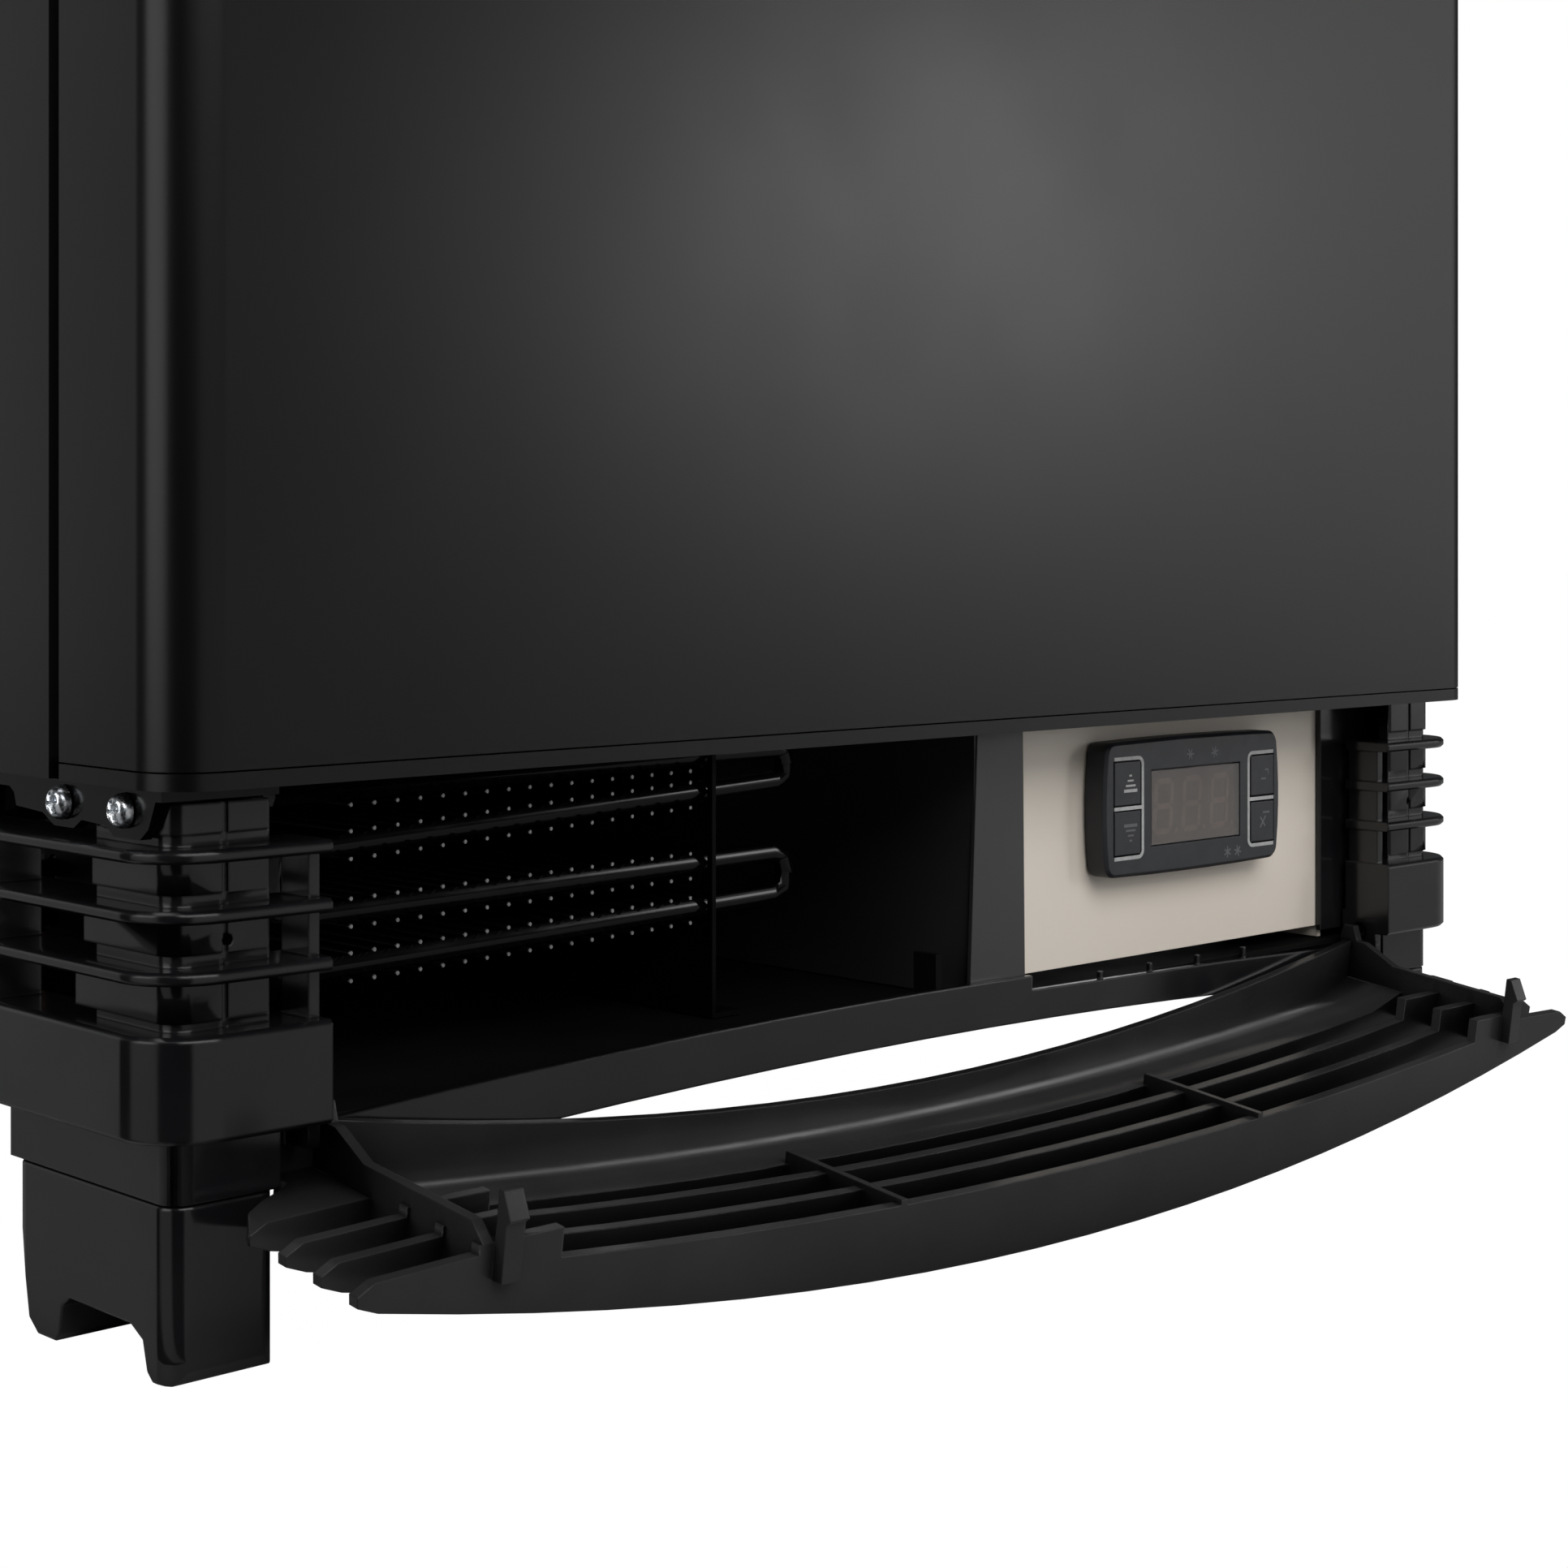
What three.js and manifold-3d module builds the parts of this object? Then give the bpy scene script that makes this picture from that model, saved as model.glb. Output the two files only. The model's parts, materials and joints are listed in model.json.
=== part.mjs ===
// Compact refrigerated cabinet with a solid door and a bottom machine bay.
// Millimetres, +Z up, +Y towards the back, +X to the right seen from the front.
// While modelling, y = 0 is the front plane of the plinth; the whole group is
// moved at the end so that the origin is the middle of the footprint.
import * as THREE from "three";
import Module from "manifold-3d";
import { mergeVertices } from "three/addons/utils/BufferGeometryUtils.js";

const wasm = await Module();
wasm.setup();

// ---------------------------------------------------------------- dimensions
const HALF_WIDTH = 215;
const GAP = 0.35; // working clearance between two touching pieces

const FOOT_TOP = 33.2;
const NECK_BOTTOM = 33.6;
const BAND_BOTTOM = 45.8;
const BAND_TOP = 65.7;
const FIN_HEIGHTS = [76.3, 87.5, 98.7];
const FIN_THICKNESS = 2.6;
const FIN_DEPTH = 14.5;
const PLINTH_TOP = 110.8;
const PLINTH_BACK = 472;
const PLINTH_CORNER = 14;
const POST_INSET = 6.8;
const POST_CORNER = 4.5;
const POST_DETAIL = { detail: 5 }; // arc pieces in a post corner
const OPENING_HALF = 177.2; // half width of the front opening of the plinth
const RAIL_HALF = 188;
const RAIL_Y = 12.3; // front face of the rail under the opening

const DOOR_BOTTOM = 111.2;
const DOOR_TOP = 672;
const DOOR_FRONT = -3.9;
const DOOR_BACK = 36.1;
const DOOR_CORNER = 12;
const DOOR_CAP = 3.2;
const SKIN = 1.0;
const DOOR_PIN = { x: -203, y: 16 };
const PIN_RADIUS = 3;
const HINGE_SCREWS = [17.5, 40.5]; // how far back the two screws sit
const HINGE_SCREW_Z = 106.6;

const BODY_FRONT = 40;
const BODY_BACK = 476;
const BODY_BOTTOM = 111.3;
const BODY_TOP = 672;
const SHEET = 0.8;
const WALL = 30; // insulated wall
const LINER = 1.5;
const STEP_FRONT = 285; // the deck rises here to clear the compressor
const STEP_TOP = 235;
const CAP_BOTTOM = 675.9;
const CAP_TOP = 690;

const TRAY_BOTTOM = 43;
const TRAY_THICKNESS = 1.2;

const DIVIDER_Y = 15; // middle of the flange between the two bays
const PANEL_Y = 18.5; // front face of the control plate
const CONTROLLER = { x0: 65.7, x1: 141, z0: 70.2, z1: 105, proud: 7.5 };

const HINGE_AXIS = { y: 10, z: 46 }; // pivot line of the front grille
const GRILLE_OPEN_DEG = 97.5;
const GRILLE_FRONT = -29; // front of the closed grille on the centre line
const GRILLE_RADIUS = 885;
const GRILLE_TIP = 201;

const COIL_ROWS = [
  { left: 104.3, right: 106.5 },
  { left: 92.4, right: 99 },
  { left: 78.7, right: 81.5 },
  { left: 67.1, right: 71.5 },
];
const COIL_LEFT = -163;
const COIL_RIGHT = -16;
const COIL_PLANES = [44, 100, 156];
const COIL_TUBE = 2.4;

// ------------------------------------------------------------ solid helpers
function asSolid(geometry) {
  const plain = geometry.index ? geometry.toNonIndexed() : geometry.clone();
  plain.deleteAttribute("normal");
  plain.deleteAttribute("uv");
  const merged = mergeVertices(plain, 1e-4);
  return new wasm.Manifold(
    new wasm.Mesh({
      numProp: 3,
      vertProperties: merged.attributes.position.array,
      triVerts: new Uint32Array(merged.index.array),
    }),
  );
}

function asGeometry(solid) {
  const mesh = solid.getMesh();
  const stride = mesh.numProp;
  const positions = new Float32Array(mesh.numVert * 3);
  for (let i = 0; i < mesh.numVert; i++) {
    positions.set(mesh.vertProperties.subarray(i * stride, i * stride + 3), i * 3);
  }
  const geometry = new THREE.BufferGeometry();
  geometry.setAttribute("position", new THREE.BufferAttribute(positions, 3));
  geometry.setIndex(new THREE.BufferAttribute(new Uint32Array(mesh.triVerts), 1));
  return geometry;
}

const join = (...solids) => solids.flat().reduce((a, b) => a.add(b));
const cut = (solid, ...tools) => tools.flat().reduce((a, b) => a.subtract(b), solid);
const pairSides = [-1, 1];

function block([x0, x1], [y0, y1], [z0, z1]) {
  const geometry = new THREE.BoxGeometry(x1 - x0, y1 - y0, z1 - z0);
  geometry.translate((x0 + x1) / 2, (y0 + y1) / 2, (z0 + z1) / 2);
  return asSolid(geometry);
}

function polygon(points) {
  return new THREE.Shape(points.map(([a, b]) => new THREE.Vector2(a, b)));
}

function roundedBox2d(x0, x1, y0, y1, radius, PathType = THREE.Shape) {
  const shape = new PathType();
  shape.absarc(x0 + radius, y0 + radius, radius, Math.PI, 1.5 * Math.PI);
  shape.absarc(x1 - radius, y0 + radius, radius, 1.5 * Math.PI, 2 * Math.PI);
  shape.absarc(x1 - radius, y1 - radius, radius, 0, 0.5 * Math.PI);
  shape.absarc(x0 + radius, y1 - radius, radius, 0.5 * Math.PI, Math.PI);
  return shape;
}

function extrude(shape, depth, { bevel = 0, detail = 2, bevelSteps = 1 } = {}) {
  return new THREE.ExtrudeGeometry(shape, {
    depth: depth - 2 * bevel,
    bevelEnabled: bevel > 0,
    bevelThickness: bevel,
    bevelSize: bevel,
    bevelOffset: -bevel,
    bevelSegments: bevelSteps,
    curveSegments: detail,
  }).translate(0, 0, bevel);
}

// A plan shape (x, y) raised from z0 to z1.
function slab(shape, z0, z1, options) {
  return asSolid(extrude(shape, z1 - z0, options).translate(0, 0, z0));
}

const Y_UP = new THREE.Vector3(0, 1, 0);
const AXIS_X = new THREE.Vector3(1, 0, 0);
const AXIS_Z = new THREE.Vector3(0, 0, 1);

// A side profile (y, z) carried from x0 to x1.
function alongX(shape, x0, x1, options) {
  const geometry = extrude(shape, x1 - x0, options);
  geometry.applyMatrix4(new THREE.Matrix4().makeBasis(Y_UP, AXIS_Z, AXIS_X));
  return asSolid(geometry.translate(x0, 0, 0));
}

// A front profile (x, z) carried from y0 to y1.
function alongY(shape, y0, y1, options) {
  const geometry = extrude(shape, y1 - y0, options);
  const back = new THREE.Vector3(0, -1, 0);
  geometry.applyMatrix4(new THREE.Matrix4().makeBasis(AXIS_X, AXIS_Z, back));
  return asSolid(geometry.translate(0, y1, 0));
}

function rod(from, to, radius, sides = 12) {
  const a = new THREE.Vector3(...from);
  const b = new THREE.Vector3(...to);
  const span = b.clone().sub(a);
  const geometry = new THREE.CylinderGeometry(radius, radius, span.length(), sides);
  const turn = new THREE.Quaternion().setFromUnitVectors(Y_UP, span.normalize());
  geometry.applyQuaternion(turn);
  geometry.translate((a.x + b.x) / 2, (a.y + b.y) / 2, (a.z + b.z) / 2);
  return asSolid(geometry);
}

// A bent line through given points, with the corners rounded.
class BentLine extends THREE.Curve {
  constructor(points, radius = 0, cornerSteps = 3) {
    super();
    this.nodes = BentLine.roundCorners(points, radius, cornerSteps);
  }

  static roundCorners(points, radius, steps) {
    const list = points.map((p) => new THREE.Vector3(...p));
    if (!radius) {
      return list;
    }
    const out = [list[0]];
    for (let i = 1; i < list.length - 1; i++) {
      const corner = list[i];
      const before = list[i - 1].clone().sub(corner);
      const after = list[i + 1].clone().sub(corner);
      const reach = Math.min(radius, before.length() / 2.05, after.length() / 2.05);
      const start = corner.clone().add(before.setLength(reach));
      const end = corner.clone().add(after.setLength(reach));
      const bend = new THREE.QuadraticBezierCurve3(start, corner, end);
      out.push(...bend.getPoints(steps));
    }
    out.push(list[list.length - 1]);
    return out;
  }

  getPointAt(u) {
    const at = Math.round(u * (this.nodes.length - 1));
    return this.nodes[at].clone();
  }

  getTangentAt(u) {
    const at = Math.round(u * (this.nodes.length - 1));
    const last = this.nodes.length - 1;
    const ahead = this.nodes[Math.min(at + 1, last)];
    const behind = this.nodes[Math.max(at - 1, 0)];
    return ahead.clone().sub(behind).normalize();
  }
}

function tubeAlong(points, radius, { sides = 6, bend = 8, cornerSteps = 3 } = {}) {
  const path = new BentLine(points, bend, cornerSteps);
  const round = new THREE.Shape();
  for (let i = 0; i < sides; i++) {
    const angle = (2 * Math.PI * i) / sides;
    const at = [radius * Math.cos(angle), radius * Math.sin(angle)];
    if (i === 0) {
      round.moveTo(...at);
    } else {
      round.lineTo(...at);
    }
  }
  round.closePath();
  const geometry = new THREE.ExtrudeGeometry(round, {
    steps: path.nodes.length - 1,
    extrudePath: path,
    bevelEnabled: false,
  });
  return asSolid(geometry);
}

function lathe(profile, [x, y, z], segments = 24) {
  const points = profile.map(([r, h]) => new THREE.Vector2(r, h));
  const geometry = new THREE.LatheGeometry(points, segments);
  geometry.rotateX(Math.PI / 2);
  geometry.translate(x, y, z);
  return asSolid(geometry);
}

function turned(solid, axis, degrees, pivot) {
  const geometry = asGeometry(solid);
  geometry.translate(-pivot[0], -pivot[1], -pivot[2]);
  geometry.applyMatrix4(
    new THREE.Matrix4().makeRotationAxis(axis, THREE.MathUtils.degToRad(degrees)),
  );
  geometry.translate(...pivot);
  return asSolid(geometry);
}

function mirrorX(solid) {
  const geometry = asGeometry(solid);
  geometry.scale(-1, 1, 1);
  const order = geometry.index.array;
  for (let i = 0; i < order.length; i += 3) {
    [order[i + 1], order[i + 2]] = [order[i + 2], order[i + 1]];
  }
  return asSolid(geometry);
}

// ------------------------------------------------------------------- output
const group = new THREE.Group();
group.name = "refrigerated_cabinet";

function piece(name, solid, colour, { rough = 0.5, metal = 0 } = {}) {
  const material = new THREE.MeshStandardMaterial({
    color: colour,
    roughness: rough,
    metalness: metal,
  });
  material.name = name + "_finish";
  const clean = solid.asOriginal().simplify(0.01);
  const mesh = new THREE.Mesh(asGeometry(clean), material);
  mesh.name = name;
  group.add(mesh);
}

const BLACK_PLASTIC = 0x141416;
const BLACK_PAINT = 0x202022;
const ZINC = 0xc4c8cc;
const WHITE_PLASTIC = 0xe9eae8;
const COPPER = 0xb8734a;
const ALUMINIUM = 0xc9cbcd;

// ------------------------------------------------------------------- plinth
const plinthBox = (inset, radius, PathType) =>
  roundedBox2d(
    -HALF_WIDTH + inset,
    HALF_WIDTH - inset,
    inset,
    PLINTH_BACK - inset,
    radius,
    PathType,
  );

// A ring that follows the plinth outline, `wall` wide, set in by `inset`.
function plinthRing(inset, wall, radius, z0, z1, options) {
  const outer = plinthBox(inset, radius);
  outer.holes.push(plinthBox(inset + wall, Math.max(radius - wall, 1.5), THREE.Path));
  return slab(outer, z0, z1, options);
}

function cornerBlocks(xInner, yInner, z0, z1, frontOnly = false) {
  const outer = HALF_WIDTH + 5;
  const blocks = pairSides.flatMap((side) => {
    const xs = side < 0 ? [-outer, -xInner] : [xInner, outer];
    return [
      block(xs, [-5, yInner], [z0, z1]),
      block(xs, [PLINTH_BACK - yInner, PLINTH_BACK + 5], [z0, z1]),
    ];
  });
  return join(blocks.filter((_, i) => !frontOnly || i % 2 === 0));
}

function frontOpening(z0, z1) {
  return block([-OPENING_HALF, OPENING_HALF], [-5, 40], [z0, z1]);
}

function rearOpening(z0, z1) {
  return block([-192, 192], [PLINTH_BACK - 40, PLINTH_BACK + 5], [z0, z1]);
}

function plinthFins() {
  return FIN_HEIGHTS.map((z) => {
    const z0 = z - FIN_THICKNESS / 2;
    const z1 = z + FIN_THICKNESS / 2;
    const sheet = slab(plinthBox(0, PLINTH_CORNER), z0, z1, { bevel: 0.7, detail: 6 });
    return sheet.subtract(slab(plinthBox(FIN_DEPTH, 1.5), z0 - 1, z1 + 1, { detail: 1 }));
  });
}

function plinthBand() {
  const shell = slab(plinthBox(0, PLINTH_CORNER), BAND_BOTTOM, BAND_TOP, {
    bevel: 0.8,
    detail: 6,
  });
  const inside = slab(plinthBox(3, PLINTH_CORNER - 3), BAND_BOTTOM - 1, BAND_TOP - 3.2);
  const mouth = slab(plinthBox(FIN_DEPTH, 1.5), BAND_BOTTOM - 1, BAND_TOP + 1, { detail: 1 });
  return cut(shell, inside, mouth);
}

function plinthPosts() {
  const ring = plinthRing(POST_INSET, 3, POST_CORNER, BAND_BOTTOM - 1, PLINTH_TOP, POST_DETAIL);
  return ring.intersect(cornerBlocks(187, 34, BAND_BOTTOM - 2, PLINTH_TOP + 1));
}

// Slightly raised facing plates, one in each bay between two fins.
function postPlates() {
  const levels = [BAND_TOP - 2, ...FIN_HEIGHTS];
  const ring = plinthRing(
    POST_INSET - 0.6,
    1.2,
    POST_CORNER + 0.4,
    60,
    PLINTH_TOP,
    POST_DETAIL,
  );
  const bays = levels.map((z, i) => {
    const top = i + 1 < levels.length ? levels[i + 1] : PLINTH_TOP;
    const reach = 41 - 3.2 * i;
    return cornerBlocks(187.6, reach, z + 3.6, top, true);
  });
  return ring.intersect(join(bays));
}

function neckBlocks() {
  const outer = roundedBox2d(
    -HALF_WIDTH + POST_INSET,
    HALF_WIDTH - POST_INSET,
    POST_INSET,
    PLINTH_BACK - POST_INSET,
    POST_CORNER,
  );
  const whole = slab(outer, NECK_BOTTOM, BAND_BOTTOM + 0.6, POST_DETAIL);
  return whole.intersect(cornerBlocks(184.5, 68, 0, 60));
}

// The arched rail under the front opening, with small ribs on its inner face.
function frontRail() {
  const upper = [];
  const lower = [];
  const steps = 16;
  for (let i = 0; i <= steps; i++) {
    const x = -RAIL_HALF + (2 * RAIL_HALF * i) / steps;
    const bow = (x / OPENING_HALF) ** 2;
    upper.push([x, 48.8 - 5.6 * bow]);
    lower.push([x, Math.max(NECK_BOTTOM, 37.6 - 6 * bow)]);
  }
  const face = alongY(polygon([...lower, ...upper.reverse()]), RAIL_Y, RAIL_Y + 1.9);
  const sunk = alongY(
    polygon([
      [39.2, 45],
      [120, 43.6],
      [RAIL_HALF + 1, 41.6],
      [RAIL_HALF + 1, 60],
      [39.2, 60],
    ]),
    RAIL_Y - 1,
    RAIL_Y + 3,
  );
  const ribs = [67.4, 87.6, 107.8, 128].map((x) =>
    block([x - 0.6, x + 0.6], [RAIL_Y + 1, RAIL_Y + 2.2], [41, 46.4]),
  );
  return join(face.subtract(sunk), ribs);
}

function rearRail() {
  return block(
    [-RAIL_HALF, RAIL_HALF],
    [PLINTH_BACK - 9.8, PLINTH_BACK - POST_INSET],
    [36, BAND_BOTTOM + 1],
  );
}

function plinthRibs() {
  const ribs = [];
  for (const side of pairSides) {
    const innerX = side * (OPENING_HALF + 1.6);
    ribs.push(block([innerX - 1.2, innerX + 1.2], [4, FIN_DEPTH - 1], [63, 99]));
    for (let y = 66; y < PLINTH_BACK - 50; y += 120) {
      const x0 = Math.min(side * 203, side * 212.6);
      ribs.push(block([x0, x0 + 9.6], [y - 1, y + 1], [63, 99]));
    }
    ribs.push(
      block(
        [side * 193.2 - 1.2, side * 193.2 + 1.2],
        [PLINTH_BACK - FIN_DEPTH + 1, PLINTH_BACK - 4],
        [63, 99],
      ),
    );
  }
  return ribs;
}

// End walls of the corner blocks, with the sockets that carry the grille pins.
function grilleSockets() {
  return pairSides.map((side) => {
    const wallX = side * (OPENING_HALF + 1.3);
    const wall = block([wallX - 1.3, wallX + 1.3], [1, FIN_DEPTH], [BAND_BOTTOM, BAND_TOP - 1]);
    const ear = block([wallX - 1.3, wallX + 1.3], [4.5, 15.5], [40.5, 52]);
    return join(wall, ear);
  });
}

// Closes the gap between the control plate and the right-hand post.
function controlBayCheek() {
  return block([168, 205.6], [PANEL_Y - 1.9, PANEL_Y - 0.4], [46.6, PLINTH_TOP]);
}

function sideTopFlanges() {
  return pairSides.map((side) => {
    const xs = side < 0 ? [-208.2, -192] : [192, 208.2];
    const flange = block(xs, [82, PLINTH_BACK - 8], [PLINTH_TOP - 2.4, PLINTH_TOP]);
    const wallX = side * 206.9;
    const wall = block([wallX - 1.3, wallX + 1.3], [82, PLINTH_BACK - 20], [97.6, PLINTH_TOP]);
    return join(flange, wall);
  });
}

function plinth() {
  let body = join(plinthFins(), plinthBand());
  body = cut(body, frontOpening(BAND_BOTTOM - 1, PLINTH_TOP), rearOpening(70, PLINTH_TOP));
  body = join(body, plinthPosts(), postPlates(), neckBlocks(), frontRail(), rearRail());
  body = join(body, plinthRibs(), grilleSockets(), sideTopFlanges(), controlBayCheek());
  const grooves = pairSides.map((side) =>
    block([side * 197 - 0.6, side * 197 + 0.6], [6, 6.9], [63, PLINTH_TOP + 1]),
  );
  const holes = pairSides.map((side) =>
    rod([side * 196.6, 5, 82.2], [side * 196.6, 12, 82.2], 1.2, 8),
  );
  const pinHoles = pairSides.map((side) =>
    rod([side * 176, HINGE_AXIS.y, HINGE_AXIS.z], [side * 182, HINGE_AXIS.y, HINGE_AXIS.z], 2.6),
  );
  const bracketRoom = block([-209, -184], [0, 81], [PLINTH_TOP - 2.7, PLINTH_TOP + 1]);
  const screwHoles = HINGE_SCREWS.map((y) =>
    rod([-212, y, HINGE_SCREW_Z], [-200, y, HINGE_SCREW_Z], 1.9, 8),
  );
  return cut(body, grooves, holes, pinHoles, bracketRoom, screwHoles);
}

// --------------------------------------------------------------------- feet
function foot(side, rear) {
  const profile = polygon([
    [6.8, FOOT_TOP],
    [7.0, 2.6],
    [8.6, 0],
    [13.6, 0],
    [15.6, 1.6],
    [17.2, 7.2],
    [21.6, 9.4],
    [44.6, 9.4],
    [47.4, 7.4],
    [48.4, 1.6],
    [50, 0],
    [57, 0],
    [60.6, 2.6],
    [66.8, FOOT_TOP],
  ]);
  const body = alongX(profile, 184.5, HALF_WIDTH - POST_INSET);
  const plan = roundedBox2d(184.5, HALF_WIDTH - POST_INSET, 6.8, 66.9, 5);
  const rounded = body.intersect(slab(plan, 0, FOOT_TOP, { bevel: 0 }));
  let result = side > 0 ? rounded : mirrorX(rounded);
  if (rear) {
    result = turned(result, AXIS_Z, 180, [0, PLINTH_BACK / 2, 0]);
  }
  return result;
}

// ---------------------------------------------------------------- base tray
function baseTray() {
  const z1 = TRAY_BOTTOM + TRAY_THICKNESS;
  const back = PLINTH_BACK - 10.5;
  const sheet = block([-204, 204], [RAIL_Y + 2.3, back], [TRAY_BOTTOM, z1]);
  const rims = pairSides.map((side) => {
    const x = side * 203.4;
    return block([x - 0.6, x + 0.6], [72, PLINTH_BACK - 72], [TRAY_BOTTOM, z1 + 9]);
  });
  const lug = block([6.4, 8.4], [RAIL_Y + 2.3, 22], [z1 - 0.5, 57]);
  const corners = pairSides.flatMap((side) => {
    const xs = side < 0 ? [-210, -184] : [184, 210];
    return [
      block(xs, [0, 68.5], [30, 60]),
      block(xs, [PLINTH_BACK - 68.5, PLINTH_BACK], [30, 60]),
    ];
  });
  const ribRoom = block([60, 130], [9, 15], [30, 60]);
  const earRoom = pairSides.map((side) =>
    block([side * 180 - 4, side * 180 + 4], [0, 16.2], [30, 60]),
  );
  return cut(join(sheet, rims, lug), corners, ribRoom, earRoom);
}

// ------------------------------------------------------------- door hinges
const BRACKET_TOP = DOOR_BOTTOM - GAP;

function lowerBracket() {
  const leaf = block([-211.4, -186], [5, 78], [BRACKET_TOP - 2, BRACKET_TOP]);
  const edge = [
    [6, BRACKET_TOP],
    [9.5, 103.6],
    [12.5, 101.4],
    [22, 101.4],
    [25, 103.2],
    [34, 103.6],
    [37, 101.8],
    [44.5, 101.8],
    [49, 104],
    [59.6, 104.6],
    [60.6, 107.2],
    [62.4, 108.3],
    [66.6, 108.3],
    [68.4, 107.2],
    [69, 101.4],
    [78, 101.4],
    [78, BRACKET_TOP],
  ];
  const flange = alongX(polygon(edge), -211.4, -209);
  const pin = rod(
    [DOOR_PIN.x, DOOR_PIN.y, BRACKET_TOP - 1],
    [DOOR_PIN.x, DOOR_PIN.y, DOOR_BOTTOM + DOOR_CAP + 12],
    PIN_RADIUS,
    16,
  );
  const holes = HINGE_SCREWS.map((y) => rod([-214, y, HINGE_SCREW_Z], [-205, y, HINGE_SCREW_Z], 1.9, 8));
  return cut(join(leaf, flange, pin), holes);
}

function upperBracket() {
  const z0 = DOOR_TOP + GAP;
  const plan = roundedBox2d(-212, -170, 6, 90, 5);
  const leaf = slab(plan, z0, z0 + 2.6);
  const pin = rod(
    [DOOR_PIN.x, DOOR_PIN.y, DOOR_TOP - DOOR_CAP - 12],
    [DOOR_PIN.x, DOOR_PIN.y, z0 + 1],
    PIN_RADIUS,
    16,
  );
  return join(leaf, pin);
}

// Pan-head screw whose head faces -X, with a cross recess.
function sideScrew(y) {
  const z = HINGE_SCREW_Z;
  const headX = -211.4 - GAP;
  const head = rod([headX - 2.2, y, z], [headX, y, z], 3.4, 16);
  const cap = rod([headX - 2.8, y, z], [headX - 2.1, y, z], 2.6, 16);
  const shank = rod([headX - 0.2, y, z], [-203, y, z], 1.5, 8);
  const slots = [
    block([headX - 4, headX - 1.4], [y - 0.45, y + 0.45], [z - 1.9, z + 1.9]),
    block([headX - 4, headX - 1.4], [y - 1.9, y + 1.9], [z - 0.45, z + 0.45]),
  ];
  return cut(join(head, cap, shank), slots);
}

// --------------------------------------------------------------------- door
function doorPlan(inset, back = DOOR_BACK) {
  const left = -HALF_WIDTH + inset;
  const right = HALF_WIDTH - inset;
  const front = DOOR_FRONT + inset;
  const radius = DOOR_CORNER - inset;
  const shape = new THREE.Shape();
  shape.moveTo(left, back);
  shape.lineTo(left, front + radius);
  shape.absarc(left + radius, front + radius, radius, Math.PI, 1.5 * Math.PI);
  shape.absarc(right - radius, front + radius, radius, 1.5 * Math.PI, 2 * Math.PI);
  shape.lineTo(right, back);
  return shape;
}

const DOOR_ZS = [DOOR_BOTTOM + DOOR_CAP + GAP, DOOR_TOP - DOOR_CAP - GAP];

function pinHole(radius, z0, z1) {
  return rod([DOOR_PIN.x, DOOR_PIN.y, z0], [DOOR_PIN.x, DOOR_PIN.y, z1], radius, 16);
}

function doorSkin() {
  const outer = slab(doorPlan(0), ...DOOR_ZS, { detail: 8 });
  const inner = slab(doorPlan(SKIN, DOOR_BACK + 5), DOOR_ZS[0] - 5, DOOR_ZS[1] + 5, {
    detail: 8,
  });
  return outer.subtract(inner);
}

function doorFoam() {
  const core = slab(doorPlan(SKIN + GAP, 34), ...DOOR_ZS, { detail: 3 });
  const holes = [
    pinHole(PIN_RADIUS + 0.6, DOOR_ZS[0] - 2, DOOR_ZS[0] + 14),
    pinHole(PIN_RADIUS + 0.6, DOOR_ZS[1] - 14, DOOR_ZS[1] + 2),
  ];
  return cut(core, holes);
}

function doorCap(z0, z1) {
  const plate = slab(doorPlan(0), z0, z1, { detail: 8 });
  return plate.subtract(pinHole(PIN_RADIUS + 0.4, z0 - 1, z1 + 1));
}

function doorLiner() {
  const [z0, z1] = DOOR_ZS;
  const half = HALF_WIDTH - SKIN - GAP;
  const sheet = block([-half, half], [34.4, DOOR_BACK], [z0, z1]);
  const dyke = block([-170, 170], [35, 46], [z0 + 42, z1 - 42]);
  const pan = block([-160, 160], [36.5, 50], [z0 + 52, z1 - 52]);
  return cut(join(sheet, dyke), pan);
}

function doorGasket() {
  const half = 202;
  const z0 = DOOR_BOTTOM + 12;
  const z1 = DOOR_TOP - 12;
  const width = 12;
  const outer = block([-half, half], [DOOR_BACK + GAP, BODY_FRONT - 0.4], [z0, z1]);
  const inner = block([-half + width, half - width], [30, 50], [z0 + width, z1 - width]);
  return outer.subtract(inner);
}

const HANDLE = { x: 188, z0: 372, z1: 548, reach: 30 };

function doorHandle() {
  const grip = roundedBox2d(HANDLE.x - 8, HANDLE.x + 8, -34, -24, 3.5);
  const bar = slab(grip, HANDLE.z0, HANDLE.z1, { bevel: 1 });
  const posts = [HANDLE.z0 + 22, HANDLE.z1 - 22].map((z) =>
    block([HANDLE.x - 6, HANDLE.x + 6], [-26, DOOR_FRONT - GAP], [z - 9, z + 9]),
  );
  return join(bar, posts);
}

// ------------------------------------------------------------------ cabinet
function outerWrap() {
  const x = HALF_WIDTH;
  const walls = pairSides.map((side) => {
    const xs = side < 0 ? [-x, -x + SHEET] : [x - SHEET, x];
    return block(xs, [BODY_FRONT, BODY_BACK], [BODY_BOTTOM, BODY_TOP]);
  });
  const roof = block([-x, x], [BODY_FRONT, BODY_BACK], [BODY_TOP - SHEET, BODY_TOP]);
  const returns = pairSides.map((side) => {
    const xs = side < 0 ? [-x, -x + 16] : [x - 16, x];
    return block(xs, [BODY_FRONT, BODY_FRONT + SHEET], [BODY_BOTTOM, BODY_TOP]);
  });
  const header = block([-x, x], [BODY_FRONT, BODY_FRONT + SHEET], [BODY_TOP - 16, BODY_TOP]);
  return join(walls, roof, returns, header);
}

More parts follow.
